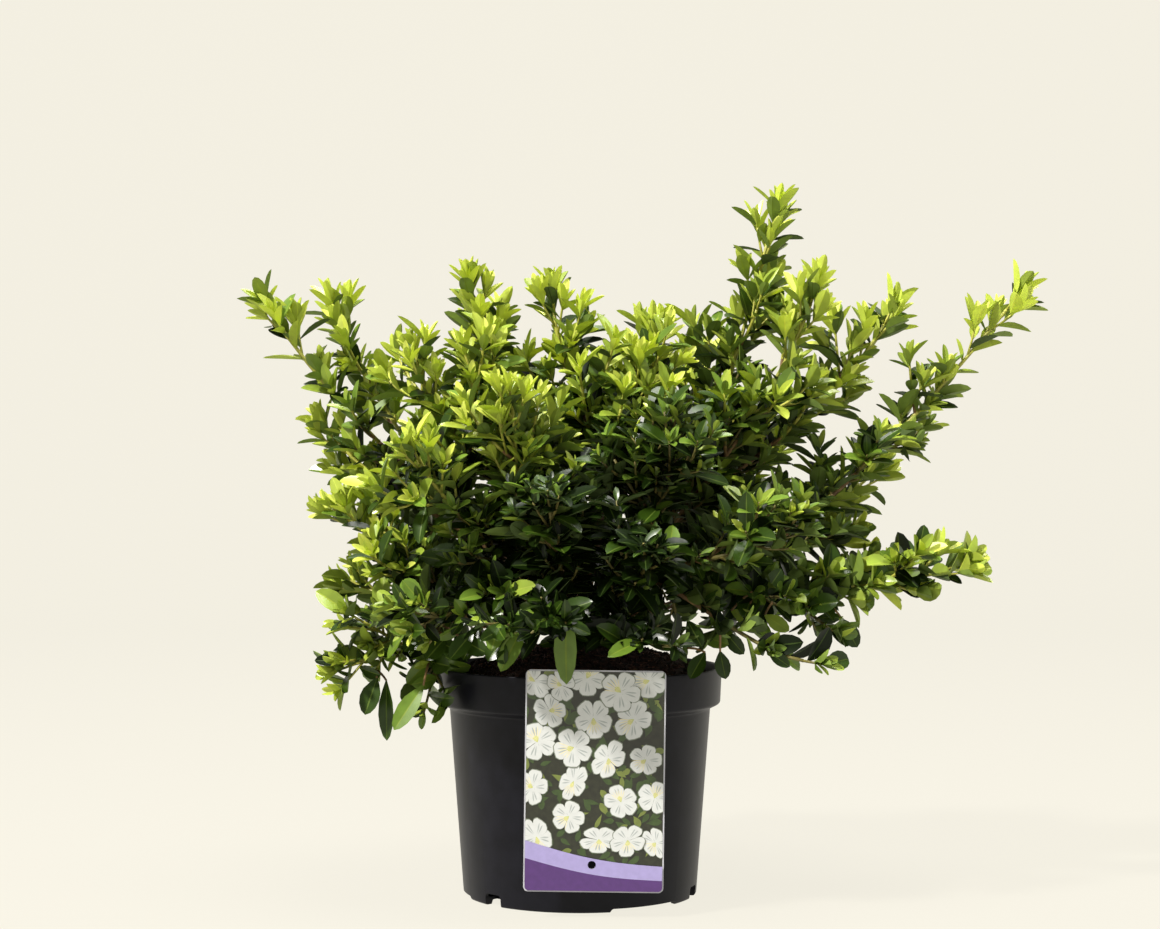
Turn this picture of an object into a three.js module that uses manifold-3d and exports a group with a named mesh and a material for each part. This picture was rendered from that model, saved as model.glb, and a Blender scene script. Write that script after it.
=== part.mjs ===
// An evergreen azalea shrub in its black nursery pot, with a hooked plant label.
// Millimetres, +Z up. The origin is the middle of the pot's flat underside, and the label faces -Y.
// The crown grows by one seeded rule: trunk, boughs, and on each bough a few leafy masses of twigs.
import * as THREE from "three";
import { mergeVertices } from "three/addons/utils/BufferGeometryUtils.js";
import Module from "manifold-3d";

const wasm = await Module();
wasm.setup();

// Gap left between two solids that rest on each other
const SEAT = 0.3;

const POT = {
  height: 135.5,
  baseRadius: 69.6,
  shoulderRadius: 78,
  shoulderHeight: 111,
  collarFootRadius: 84,
  collarRadius: 85,
  wall: 1.7,
  floorLift: 2.5,
  floor: 1.8,
  facets: 40,
};
const FOOT = { ringWidth: 4.5, bossRadius: 14 };
const NOTCH = { width: 13, height: 7, headings: [223.6, 343, 103] };
const ARCH = { width: 46, height: 2.2, headings: [304, 64, 184] };

const SOIL = {
  top: 147,
  seatRadius: 20,
  edgeHeight: 128,
  lump: 1.6,
  facets: 20,
};

const LABEL = {
  width: 79,
  height: 125,
  thickness: 0.6,
  foot: 15.2,
  offset: 7.4,
  corner: 3,
  tilt: 0.0134,
  holeRadius: 2.3,
  holeRise: 15.5,
  holeOffset: -1,
};
const HOOK = { width: 22, thickness: 0.8, reach: 5.2, drop: 7 };

const TRUNK = {
  height: 32,
  radius: 6.2,
  tipRadius: 5.6,
  flare: 4.5,
  flareHeight: 6,
  lean: [1.5, -1],
};
const BOUGH = { radius: 2.7, tipRadius: 2.15 };
// Height above the compost at which a limb's reach and lean are measured
const CROWN_FOOT = 20;

// Each bough: its heading round the pot (0 is +X, 90 the back), its lean from upright at the foot and
// at its tip, its length, how high up the trunk it starts and how far beside the trunk's middle, and
// the leafy masses that it carries.
// Each mass: heading, lean and reach of its leading leaf tips from the crown's foot, the lean of its
// stem's end, how far its side twigs reach, and the share of its stem that is bare.
const boughs = [
  {
    name: "left_bough",
    heading: 180, foot: 62, tip: 50, length: 62, start: 22,
    masses: [
      { name: "left_high", heading: 184, lean: 46, reach: 280, end: 34, girth: 26, bare: 0.2 },
      { name: "left_twin", heading: 172, lean: 40, reach: 258, end: 26, girth: 32, bare: 0.15 },
      { name: "left_mid", heading: 176, lean: 55, reach: 210, end: 42, girth: 38, bare: 0.12 },
    ],
  },
  {
    name: "left_low_bough",
    heading: 190, foot: 84, tip: 76, length: 54, start: 9,
    masses: [
      { name: "left_side", heading: 193, lean: 68, reach: 178, end: 55, girth: 50, bare: 0.1 },
      { name: "left_low", heading: 173, lean: 84, reach: 160, end: 66, girth: 52, bare: 0.1 },
      { name: "left_skirt", heading: 199, lean: 101, reach: 168, end: 108, girth: 48, bare: 0.15 },
    ],
  },
  {
    name: "left_top_bough",
    heading: 196, foot: 38, tip: 30, length: 66, start: 31, aside: 3.1,
    masses: [
      { name: "left_shoulder", heading: 203, lean: 35, reach: 206, end: 18, girth: 66, bare: 0.1 },
      { name: "top_left", heading: 181, lean: 19, reach: 224, end: 4, girth: 54, bare: 0.1 },
      { name: "back_left_top", heading: 130, lean: 30, reach: 204, end: 16, girth: 66, bare: 0.1 },
    ],
  },
  {
    name: "top_bough",
    heading: 20, foot: 12, tip: 8, length: 62, start: 31, aside: 3.1,
    masses: [
      { name: "top_centre", heading: 190, lean: 5, reach: 211, end: 4, girth: 36, bare: 0.1 },
      { name: "top_middle", heading: 12, lean: 15, reach: 196, end: 8, girth: 62, bare: 0.1 },
      { name: "back_top", heading: 82, lean: 34, reach: 188, end: 14, girth: 66, bare: 0.1 },
    ],
  },
  {
    name: "spire_bough",
    heading: 0, foot: 54, tip: 40, length: 64, start: 21,
    masses: [
      { name: "spire", heading: 5, lean: 26.6, reach: 288, end: 16, girth: 48, bare: 0.1 },
      { name: "spire_second", heading: 349, lean: 37, reach: 258, end: 20, girth: 50, bare: 0.1 },
      { name: "right_shoulder", heading: 5, lean: 46.8, reach: 282, end: 30, girth: 44, bare: 0.1 },
    ],
  },
  {
    name: "right_bough",
    heading: 356, foot: 80, tip: 68, length: 64, start: 10,
    masses: [
      { name: "right_high", heading: 0, lean: 54.6, reach: 342, end: 39, girth: 32, bare: 0.1 },
      { name: "right_mid", heading: 10, lean: 66, reach: 222, end: 50, girth: 48, bare: 0.1 },
      { name: "right_low", heading: 353, lean: 82.8, reach: 248, end: 70, girth: 42, bare: 0.12 },
    ],
  },
  {
    name: "front_bough",
    heading: 268, foot: 86, tip: 78, length: 44, start: 8,
    masses: [
      { name: "front_centre", heading: 288, lean: 74, reach: 158, end: 56, girth: 52, bare: 0.1 },
      { name: "front_middle", heading: 262, lean: 62, reach: 162, end: 42, girth: 54, bare: 0.1 },
      { name: "front_low", heading: 262, lean: 88, reach: 142, end: 88, girth: 50, bare: 0.1 },
    ],
  },
  {
    name: "front_left_bough",
    heading: 232, foot: 68, tip: 56, length: 56, start: 18,
    masses: [
      { name: "front_left", heading: 228, lean: 56, reach: 188, end: 38, girth: 60, bare: 0.1 },
      { name: "front_bright", heading: 246, lean: 38, reach: 180, end: 18, girth: 60, bare: 0.1 },
      { name: "front_left_low", heading: 227, lean: 88, reach: 156, end: 74, girth: 54, bare: 0.1 },
    ],
  },
  {
    name: "front_right_bough",
    heading: 306, foot: 70, tip: 58, length: 56, start: 16,
    masses: [
      { name: "front_right", heading: 300, lean: 44, reach: 178, end: 26, girth: 60, bare: 0.1 },
      { name: "front_right_low", heading: 322, lean: 70, reach: 186, end: 54, girth: 56, bare: 0.1 },
      { name: "right_skirt", heading: 328.5, lean: 98.5, reach: 178, end: 97, girth: 23, bare: 0.12 },
    ],
  },
  {
    name: "back_left_bough",
    heading: 132, foot: 74, tip: 64, length: 58, start: 17,
    masses: [
      { name: "back_left", heading: 142, lean: 52, reach: 190, end: 34, girth: 54, bare: 0.1 },
      { name: "back_left_low", heading: 140, lean: 80, reach: 176, end: 66, girth: 58, bare: 0.1 },
      { name: "back_low", heading: 102, lean: 70, reach: 180, end: 56, girth: 58, bare: 0.1 },
    ],
  },
  {
    name: "back_right_bough",
    heading: 52, foot: 74, tip: 62, length: 58, start: 17,
    masses: [
      { name: "back_right_top", heading: 52, lean: 36, reach: 212, end: 18, girth: 66, bare: 0.1 },
      { name: "back_right", heading: 36, lean: 58, reach: 206, end: 40, girth: 50, bare: 0.1 },
      { name: "back_right_low", heading: 42, lean: 82, reach: 190, end: 70, girth: 58, bare: 0.1 },
    ],
  },
];

const STEM = { sides: 3, radius: 1.5, tipRadius: 1, steps: 6 };
const TWIG = {
  spacing: 39,
  sides: 3,
  radius: 1,
  tipRadius: 0.8,
  // The hidden end inside the stem is narrower by this share
  root: 0.55,
  steps: 2,
  angle: 52,
  lift: 0.65,
  last: 0.84,
  shortest: 18,
  // A twig that doesn't fit is turned on by these angles, then cut to these shares of its length
  turns: [0, 0.8, -0.8, 1.6],
  cuts: [1, 0.75, 0.55],
};
const LEAF = {
  length: 46,
  width: 21,
  thickness: 1,
  keel: 0.12,
  waist: 0.58,
  spacing: 46,
  // Where leaves begin along a stem and along a side twig
  stemStart: 0.22,
  twigStart: 0.4,
  spread: 52,
  tuftSpread: 34,
  tuft: 3,
  tuftSpacing: 2.6,
  // How far a root's point lies beyond its twig's middle
  sunk: 0.3,
  // A leaf that doesn't fit is turned on by these angles, then cut to these shares of its size
  turns: [0, 0.9, -0.9, 1.8, -1.8, 2.7],
  cuts: [1, 0.82, 0.66],
  // How far the tips of a tuft stand past the end of its shoot
  overhang: 28,
};
// Room that a mass keeps to its neighbours' spaces, and to limbs, pot and label
const ROOM = 2.2;
// Slivers thinner than this are smoothed out of a fused body
const FUSE_TOLERANCE = 0.03;
const GOLDEN_ANGLE = Math.PI * (3 - Math.sqrt(5));
const UP = new THREE.Vector3(0, 0, 1);

const radians = THREE.MathUtils.degToRad;
const lerp = THREE.MathUtils.lerp;

// The unit vector at this heading round the pot and this lean from upright.
function direction(heading, lean) {
  const round = radians(heading);
  const down = radians(lean);
  return new THREE.Vector3(
    Math.sin(down) * Math.cos(round),
    Math.sin(down) * Math.sin(round),
    Math.cos(down),
  );
}

// Seeded random numbers from 0 to 1: the same seed always gives the same row of numbers.
function seeded(seed) {
  let state = seed >>> 0;
  return () => {
    state = (state + 0x6d2b79f5) >>> 0;
    let mixed = Math.imul(state ^ (state >>> 15), state | 1);
    mixed ^= mixed + Math.imul(mixed ^ (mixed >>> 7), mixed | 61);
    return ((mixed ^ (mixed >>> 14)) >>> 0) / 4294967296;
  };
}

// A closed geometry as a manifold-3d solid.
function toSolid(geometry) {
  const bare = geometry.clone();
  for (const name of ["normal", "uv"]) bare.deleteAttribute(name);
  const merged = mergeVertices(bare, 1e-4);
  return new wasm.Manifold(
    new wasm.Mesh({
      numProp: 3,
      vertProperties: merged.getAttribute("position").array,
      triVerts: new Uint32Array(merged.index.array),
    }),
  );
}

// The largest body of a solid as a geometry, without loose scraps and sealed hollows.
function toGeometry(solid) {
  const bodies = solid.decompose();
  const largest = bodies.reduce((a, b) => (b.volume() > a.volume() ? b : a));
  const mesh = largest.getMesh();
  const geometry = new THREE.BufferGeometry();
  geometry.setAttribute(
    "position",
    new THREE.BufferAttribute(new Float32Array(mesh.vertProperties), 3),
  );
  geometry.setIndex(new THREE.BufferAttribute(new Uint32Array(mesh.triVerts), 1));
  geometry.computeVertexNormals();
  return geometry;
}

// A closed tube along a curve: a cylinder whose rings are moved onto the curve. radiusAt gives the
// radius for each share of the curve, 0 at its start.
function tube(curve, radiusAt, sides, steps) {
  const shape = new THREE.CylinderGeometry(1, 1, 1, sides, steps);
  const frames = curve.computeFrenetFrames(steps);
  const position = shape.getAttribute("position");
  const point = new THREE.Vector3();
  for (let i = 0; i < position.count; i++) {
    const along = position.getY(i) + 0.5;
    const step = Math.round(along * steps);
    const radius = radiusAt(along);
    point
      .copy(curve.getPointAt(along))
      .addScaledVector(frames.normals[step], radius * position.getX(i))
      .addScaledVector(frames.binormals[step], -radius * position.getZ(i));
    position.setXYZ(i, point.x, point.y, point.z);
  }
  return shape;
}

const taper = (from, to) => (along) => lerp(from, to, along);

// A solid of revolution about the Z axis, from a profile of [radius, height] pairs.
function turned(profile, facets) {
  const points = profile.map(([r, z]) => new THREE.Vector2(r, z));
  return new THREE.LatheGeometry(points, facets).rotateX(Math.PI / 2);
}

function potGeometry() {
  const { height, baseRadius, shoulderRadius, shoulderHeight, wall } = POT;
  const { collarFootRadius, collarRadius, floorLift, floor, facets } = POT;
  const inside = floorLift + floor;
  const profile = [
    [0, 0],
    [FOOT.bossRadius, 0],
    [FOOT.bossRadius + 1, floorLift],
    [baseRadius - FOOT.ringWidth - 1, floorLift],
    [baseRadius - FOOT.ringWidth, 0],
    [baseRadius - 0.8, 0],
    [baseRadius, 0.9],
    [shoulderRadius, shoulderHeight],
    [collarFootRadius, shoulderHeight + 3.4],
    [collarRadius, height - 1],
    [collarRadius - 0.8, height],
    [collarRadius - wall, height - 0.6],
    [collarFootRadius - wall, shoulderHeight + 4.4],
    [shoulderRadius - wall, shoulderHeight + 1],
    [baseRadius - wall, inside],
    [0, inside],
  ];
  let solid = toSolid(turned(profile, facets));
  for (const cut of [NOTCH, ARCH]) {
    for (const heading of cut.headings) {
      solid = solid.subtract(toSolid(footCutter(cut, heading)));
    }
  }
  return toGeometry(solid);
}

// A block with rounded upper edges that cuts through the pot's foot at this heading.
function footCutter({ width, height }, heading) {
  const corner = Math.min(2, height * 0.8);
  const outline = new THREE.Shape();
  outline.moveTo(-width / 2, -1);
  outline.lineTo(width / 2, -1);
  outline.lineTo(width / 2, height - corner);
  outline.quadraticCurveTo(width / 2, height, width / 2 - corner, height);
  outline.lineTo(-width / 2 + corner, height);
  outline.quadraticCurveTo(-width / 2, height, -width / 2, height - corner);
  const depth = FOOT.ringWidth * 3;
  return new THREE.ExtrudeGeometry(outline, { depth, bevelEnabled: false, curveSegments: 3 })
    .rotateX(Math.PI / 2)
    .translate(0, POT.baseRadius + 4, 0)
    .rotateZ(radians(heading - 90));
}

// The height of the compost's top at a place: a dome with low lumps, flat where the trunk stands.
function soilTop(x, y) {
  const radius = Math.hypot(x, y);
  const outer = POT.shoulderRadius + 2;
  const share = Math.max(0, (radius - SOIL.seatRadius) / (outer - SOIL.seatRadius));
  const dome = lerp(SOIL.top, SOIL.edgeHeight, Math.pow(share, 1.7));
  const ripple = Math.sin(x * 0.19 + 1.3) * Math.cos(y * 0.23) + Math.sin((x + y) * 0.11);
  const fade = Math.min(1, share * 4) * Math.min(1, (1 - share) * 4);
  return dome + SOIL.lump * 0.5 * ripple * fade;
}

function soilGeometry() {
  const gap = POT.wall + SEAT;
  const inside = POT.floorLift + POT.floor + SEAT;
  const edge = POT.collarFootRadius - gap - 0.6;
  const rings = [0.86, 0.66, 0.44];
  const profile = [
    [0, inside],
    [POT.baseRadius - gap - 1.2, inside],
    [POT.baseRadius - gap, inside + 1.2],
    [POT.shoulderRadius - gap, POT.shoulderHeight + 1],
    [edge, POT.shoulderHeight + 4.8],
    [edge, SOIL.edgeHeight],
    ...rings.map((share) => [edge * share, SOIL.top]),
    [SOIL.seatRadius, SOIL.top],
    [0, SOIL.top],
  ];
  const shape = turned(profile, SOIL.facets);
  const position = shape.getAttribute("position");
  for (let i = 0; i < position.count; i++) {
    if (position.getZ(i) === SOIL.top) {
      position.setZ(i, soilTop(position.getX(i), position.getY(i)));
    }
  }
  return shape;
}

// The card hangs in front of the collar by a strap that goes over the rim and down inside it.
function labelGeometry() {
  const { width, height, corner, thickness, foot, offset } = LABEL;
  const left = -width / 2;
  const card = new THREE.Shape();
  card.moveTo(left + corner, 0);
  card.lineTo(-left - corner, 0);
  card.absarc(-left - corner, corner, corner, -Math.PI / 2, 0);
  card.lineTo(-left, height - corner);
  card.absarc(-left - corner, height - corner, corner, 0, Math.PI / 2);
  card.lineTo(left + corner, height);
  card.absarc(left + corner, height - corner, corner, Math.PI / 2, Math.PI);
  card.lineTo(left, corner);
  card.absarc(left + corner, corner, corner, Math.PI, Math.PI * 1.5);
  const hole = new THREE.Path();
  hole.absarc(LABEL.holeOffset, LABEL.holeRise, LABEL.holeRadius, 0, Math.PI * 2, true);
  card.holes.push(hole);
  const back = -(POT.collarRadius + SEAT);
  const plate = new THREE.ExtrudeGeometry(card, {
    depth: thickness,
    bevelEnabled: false,
    curveSegments: 5,
  })
    .rotateX(Math.PI / 2)
    .rotateY(LABEL.tilt)
    .translate(offset, back, foot);
  const strapHeight = POT.height + SEAT + HOOK.thickness / 2;
  const strap = new THREE.BoxGeometry(HOOK.width, HOOK.reach, HOOK.thickness).translate(
    0,
    back - thickness / 2 + HOOK.reach / 2,
    strapHeight,
  );
  const tongue = new THREE.BoxGeometry(HOOK.width, HOOK.thickness, HOOK.drop).translate(
    0,
    back - thickness / 2 + HOOK.reach - HOOK.thickness / 2,
    strapHeight + HOOK.thickness / 2 - HOOK.drop / 2,
  );
  return toGeometry(toSolid(plate).add(toSolid(strap)).add(toSolid(tongue)));
}

const soilSeat = new THREE.Vector3(0, 0, SOIL.top + SEAT);
const crownFoot = new THREE.Vector3(0, 0, SOIL.top + CROWN_FOOT);

const trunkCurve = new THREE.QuadraticBezierCurve3(
  soilSeat,
  soilSeat.clone().add(new THREE.Vector3(0, 0, TRUNK.height / 2)),
  soilSeat.clone().add(new THREE.Vector3(...TRUNK.lean, TRUNK.height)),
);

// The trunk's radius along its length, with the root flare at its foot.
function trunkRadius(along) {
  const flare = TRUNK.flare * Math.exp((-along * TRUNK.height) / TRUNK.flareHeight);
  return lerp(TRUNK.radius, TRUNK.tipRadius, along) + flare;
}

// A bough's line, from inside the trunk to the fork at its tip.
function boughCurve({ heading, foot, tip, length, start, aside = 0 }) {
  const from = trunkCurve.getPointAt(start / TRUNK.height);
  from.addScaledVector(direction(heading, 90), aside);
  const middle = from.clone().addScaledVector(direction(heading, foot), length / 2);
  const to = middle.clone().addScaledVector(direction(heading, tip), length / 2);
  return new THREE.QuadraticBezierCurve3(from, middle, to);
}

// A bough with its root cut back to sit just off the trunk.
function boughGeometry(curve) {
  const limb = toSolid(tube(curve, taper(BOUGH.radius, BOUGH.tipRadius), 6, 4));
  const trunk = tube(trunkCurve, (along) => trunkRadius(along) + SEAT, 12, 5);
  return toGeometry(limb.subtract(toSolid(trunk)));
}

// The main stem of each mass on a bough: side by side at the bough's tip, then apart to their tips.
function stemCurves(bough, curve) {
  const tip = curve.getPointAt(1);
  const along = curve.getTangentAt(1);
  const goals = bough.masses.map((mass) =>
    direction(mass.heading, mass.lean)
      .multiplyScalar(mass.reach - LEAF.overhang)
      .add(crownFoot),
  );
  const first = goals[0].clone().sub(tip).projectOnPlane(along).normalize();
  const across = along.clone().cross(first);
  const seatAt = (turn) =>
    first
      .clone()
      .multiplyScalar(Math.cos(turn))
      .addScaledVector(across, Math.sin(turn));
  const third = (2 * Math.PI) / 3;
  const wanted = goals[1].clone().sub(tip);
  const sense = wanted.dot(seatAt(third)) > wanted.dot(seatAt(-third)) ? 1 : -1;
  return bough.masses.map((mass, i) => {
    const from = tip
      .clone()
      .addScaledVector(along, SEAT)
      .addScaledVector(seatAt(sense * third * i), STEM.radius * 1.22);
    const pull = from.distanceTo(goals[i]) * 0.36;
    return new THREE.CubicBezierCurve3(
      from,
      from.clone().addScaledVector(along, pull * 0.7),
      goals[i].clone().addScaledVector(direction(mass.heading, mass.end), -pull),
      goals[i],
    );
  });
}

// The skeleton: every limb's curve, with points along it for measuring distances.
const limbs = boughs.map((bough) => {
  const curve = boughCurve(bough);
  return { bough, curve, points: curve.getSpacedPoints(12) };
});
const masses = limbs.flatMap(({ bough, curve }) =>
  stemCurves(bough, curve).map((stem, i) => ({
    ...bough.masses[i],
    stem,
    points: stem.getSpacedPoints(24),
  })),
);
const woodPoints = [...limbs.flatMap((limb) => limb.points), ...trunkCurve.getSpacedPoints(6)];

const distance = (point, row) => Math.min(...row.map((p) => p.distanceTo(point)));

// True where a point is in this mass's own space: nearer to its stem than to any other, and clear of
// boughs, trunk, compost, pot and label.
function isFree(point, mass) {
  const own = distance(point, mass.points);
  const others = masses.filter((m) => m !== mass);
  if (others.some((m) => distance(point, m.points) < own + 2 * ROOM)) return false;
  if (distance(point, woodPoints) < TRUNK.radius + ROOM) return false;
  const radius = Math.hypot(point.x, point.y);
  if (radius < POT.shoulderRadius) return point.z > soilTop(point.x, point.y) + ROOM;
  if (radius < POT.collarRadius + ROOM) return point.z > POT.height + 2 * ROOM;
  const inFront = point.y < 0 && Math.abs(point.x - LABEL.offset) < LABEL.width / 2 + ROOM;
  return !inFront || point.y < -POT.collarRadius - 2 * ROOM || point.z > POT.height + 4 * ROOM;
}

// A leaf as a closed body of six faces: flat above, with a ridge below that is deepest near its root.
function leafGeometry(length, width) {
  const waist = length * LEAF.waist;
  const corners = [
    [0, 0, 0],
    [length * LEAF.keel, 0, -LEAF.thickness],
    [waist, width / 2, 0],
    [waist, -width / 2, 0],
    [length, 0, 0],
  ];
  const faces = [
    [0, 3, 2],
    [2, 3, 4],
    [0, 2, 1],
    [0, 1, 3],
    [4, 1, 2],
    [4, 3, 1],
  ];
  const geometry = new THREE.BufferGeometry();
  geometry.setAttribute(
    "position",
    new THREE.Float32BufferAttribute(corners.flat(), 3),
  );
  geometry.setIndex(faces.flat());
  return geometry;
}

// A leaf with its root on a shoot's line and its blade leaning out from the shoot.
function placedLeaf(root, along, roll, spread, size) {
  const side = new THREE.Vector3().crossVectors(along, UP);
  if (side.lengthSq() < 1e-4) side.set(1, 0, 0);
  side.normalize().applyAxisAngle(along, roll);
  const blade = along
    .clone()
    .multiplyScalar(Math.cos(spread))
    .addScaledVector(side, Math.sin(spread));
  const face = along.clone().projectOnPlane(blade).normalize();
  const across = new THREE.Vector3().crossVectors(face, blade);
  const place = new THREE.Matrix4().makeBasis(blade, across, face)
    .setPosition(root.clone().addScaledVector(blade, -LEAF.sunk));
  return leafGeometry(LEAF.length * size, LEAF.width * size).applyMatrix4(place);
}

// A leaf's blade as flat triangles and the edges round them.
function bladeOf(leaf) {
  const position = leaf.getAttribute("position");
  const corner = (i) => new THREE.Vector3().fromBufferAttribute(position, i);
  const [root, left, right, tip] = [0, 2, 3, 4].map(corner);
  return {
    points: [
      left,
      right,
      tip,
      root.clone().lerp(tip, 0.3),
      root.clone().lerp(tip, 0.65),
      left.clone().lerp(tip, 0.5),
      right.clone().lerp(tip, 0.5),
    ],
    faces: [
      [root, left, right],
      [left, tip, right],
    ],
    edges: [
      [root, left],
      [left, tip],
      [tip, right],
      [right, root],
      [root, tip],
    ],
  };
}

// True where the line from a to b goes through the triangle.
function pierces([a, b], [p, q, r]) {
  const ray = new THREE.Ray(a, b.clone().sub(a).normalize());
  const hit = ray.intersectTriangle(p, q, r, false, new THREE.Vector3());
  return hit !== null && hit.distanceTo(a) < a.distanceTo(b);
}

const anyPierces = (edges, faces) => edges.some((e) => faces.some((f) => pierces(e, f)));

// The short straight lines that a limb's curve is drawn with.
function linesOf(curve) {
  const points = curve.getSpacedPoints(8);
  return points.slice(1).map((point, i) => [points[i], point]);
}

// Leaves grown so far on one mass, each tested against the mass's space, limbs and other leaves.
class Leafage {
  constructor(mass) {
    this.mass = mass;
    this.leaves = [];
    this.blades = [];
  }

  // Adds a leaf at a place on a shoot, turned on round the shoot or made smaller until it fits.
  grow(root, along, roll, spread, size, limbLines) {
    for (const cut of LEAF.cuts) {
      for (const turn of LEAF.turns) {
        const leaf = placedLeaf(root, along, roll + turn, spread, size * cut);
        const blade = bladeOf(leaf);
        const crosses = (other) =>
          anyPierces(blade.edges, other.faces) || anyPierces(other.edges, blade.faces);
        if (!blade.points.every((point) => isFree(point, this.mass))) continue;
        if (anyPierces(limbLines, blade.faces) || this.blades.some(crosses)) continue;
        this.leaves.push(leaf);
        this.blades.push(blade);
        return;
      }
    }
  }

  // Leaves along a shoot in a spiral, from a share of its length on, and a tuft at its tip.
  clothe(curve, from, random, limbLines) {
    const length = curve.getLength();
    const count = Math.max(1, Math.round((length * (1 - from)) / LEAF.spacing));
    const turn = random() * 2 * Math.PI;
    const growAt = (share, roll, spread, size) =>
      this.grow(
        curve.getPointAt(share),
        curve.getTangentAt(share),
        roll,
        radians(spread),
        size,
        limbLines,
      );
    for (let i = 0; i < LEAF.tuft; i++) {
      const share = 1 - ((i + 0.5) * LEAF.tuftSpacing) / length;
      growAt(share, turn - (i + 1) * 2.2, LEAF.tuftSpread + 14 * random(), 0.8 + 0.2 * random());
    }
    for (let i = 0; i < count; i++) {
      const share = lerp(from, 0.86, i / count);
      growAt(share, turn + i * GOLDEN_ANGLE, LEAF.spread + 20 * random(), 0.85 + 0.3 * random());
    }
  }
}

// A side twig's curve: out from the stem, then lifting towards the light.
function twigCurve(mass, share, roll, length) {
  const from = mass.stem.getPointAt(share);
  const along = mass.stem.getTangentAt(share);
  const side = new THREE.Vector3().crossVectors(along, UP).normalize();
  side.applyAxisAngle(along, roll);
  const out = along
    .clone()
    .multiplyScalar(Math.cos(radians(TWIG.angle)))
    .addScaledVector(side, Math.sin(radians(TWIG.angle)));
  const lift = TWIG.lift * Math.max(0, Math.cos(radians(mass.end)));
  const lifted = out.clone().addScaledVector(UP, lift).normalize();
  const middle = from.clone().addScaledVector(out, length / 2);
  return new THREE.QuadraticBezierCurve3(
    from,
    middle,
    middle.clone().addScaledVector(lifted, length / 2),
  );
}

// The side twigs of a mass that end in its own space, a long one cut back until it does.
function twigCurves(mass, random) {
  const turn = random() * 2 * Math.PI;
  const curves = [];
  const count = Math.round(mass.stem.getLength() / TWIG.spacing);
  for (let i = 0; i < count; i++) {
    const share = lerp(mass.bare, TWIG.last, (i + 0.5) / count);
    const full = mass.girth * Math.pow(1 - share, 0.5) * (0.85 + 0.4 * random());
    const grown = TWIG.cuts
      .filter((cut) => full * cut > TWIG.shortest)
      .flatMap((cut) =>
        TWIG.turns.map((aside) =>
          twigCurve(mass, share, turn + i * GOLDEN_ANGLE + aside, full * cut),
        ),
      )
      .find((curve) => [0.6, 1].every((along) => isFree(curve.getPointAt(along), mass)));
    if (grown) curves.push(grown);
  }
  return curves;
}

// One mass of foliage: its stem, side twigs and leaves, fused to one body.
function massGeometry(mass, index) {
  const random = seeded(1009 * (index + 1));
  const twigs = twigCurves(mass, random);
  const stemLines = linesOf(mass.stem);
  const leafage = new Leafage(mass);
  for (const twig of twigs) {
    const others = twigs.filter((other) => other !== twig).flatMap(linesOf);
    leafage.clothe(twig, LEAF.twigStart, random, [...stemLines, ...others]);
  }
  leafage.clothe(mass.stem, LEAF.stemStart, random, twigs.flatMap(linesOf));
  const twigRadius = (along) =>
    lerp(TWIG.radius, TWIG.tipRadius, along) * (along === 0 ? TWIG.root : 1);
  const wood = [
    tube(mass.stem, taper(STEM.radius, STEM.tipRadius), STEM.sides, STEM.steps),
    ...twigs.map((twig) => tube(twig, twigRadius, TWIG.sides, TWIG.steps)),
  ];
  const fused = wasm.Manifold.union([...wood, ...leafage.leaves].map(toSolid));
  return toGeometry(fused.simplify(FUSE_TOLERANCE));
}

const finishes = {
  pot: new THREE.MeshStandardMaterial({ color: 0x26262a, roughness: 0.5 }),
  label: new THREE.MeshStandardMaterial({ color: 0xd9dbe2, roughness: 0.35 }),
  soil: new THREE.MeshStandardMaterial({ color: 0x2a1712, roughness: 1 }),
  bark: new THREE.MeshStandardMaterial({ color: 0x6d5236, roughness: 0.85 }),
  foliage: new THREE.MeshStandardMaterial({ color: 0x4f7f22, roughness: 0.5 }),
};

const shrub = new THREE.Group();

function addPiece(name, geometry, finish) {
  const mesh = new THREE.Mesh(geometry, finishes[finish]);
  mesh.name = name;
  shrub.add(mesh);
}

addPiece("pot", potGeometry(), "pot");
addPiece("soil", soilGeometry(), "soil");
addPiece("label", labelGeometry(), "label");
addPiece("trunk", tube(trunkCurve, trunkRadius, 12, 5), "bark");
for (const { bough, curve } of limbs) addPiece(bough.name, boughGeometry(curve), "bark");
masses.forEach((mass, i) => addPiece(mass.name, massGeometry(mass, i), "foliage"));

export default shrub;
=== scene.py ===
# %% [markdown]
# # A potted azalea
#
# This lesson dresses a plain set of solids as a living shrub in a nursery pot. The solids give the
# sizes: a pot, its compost, a plant card, a short trunk, eleven boughs and thirty-three leafy masses.
# They could be painted as they are, but a shrub is thousands of thin, curved, glossy leaves. So the
# pot and card are made again with finer edges, and the crown is grown on from the limbs by code.

from collections import namedtuple
from math import cos, exp, floor, hypot, pi, radians, sin, sqrt

import bpy
import numpy as np
from mathutils import Matrix, Vector


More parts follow.
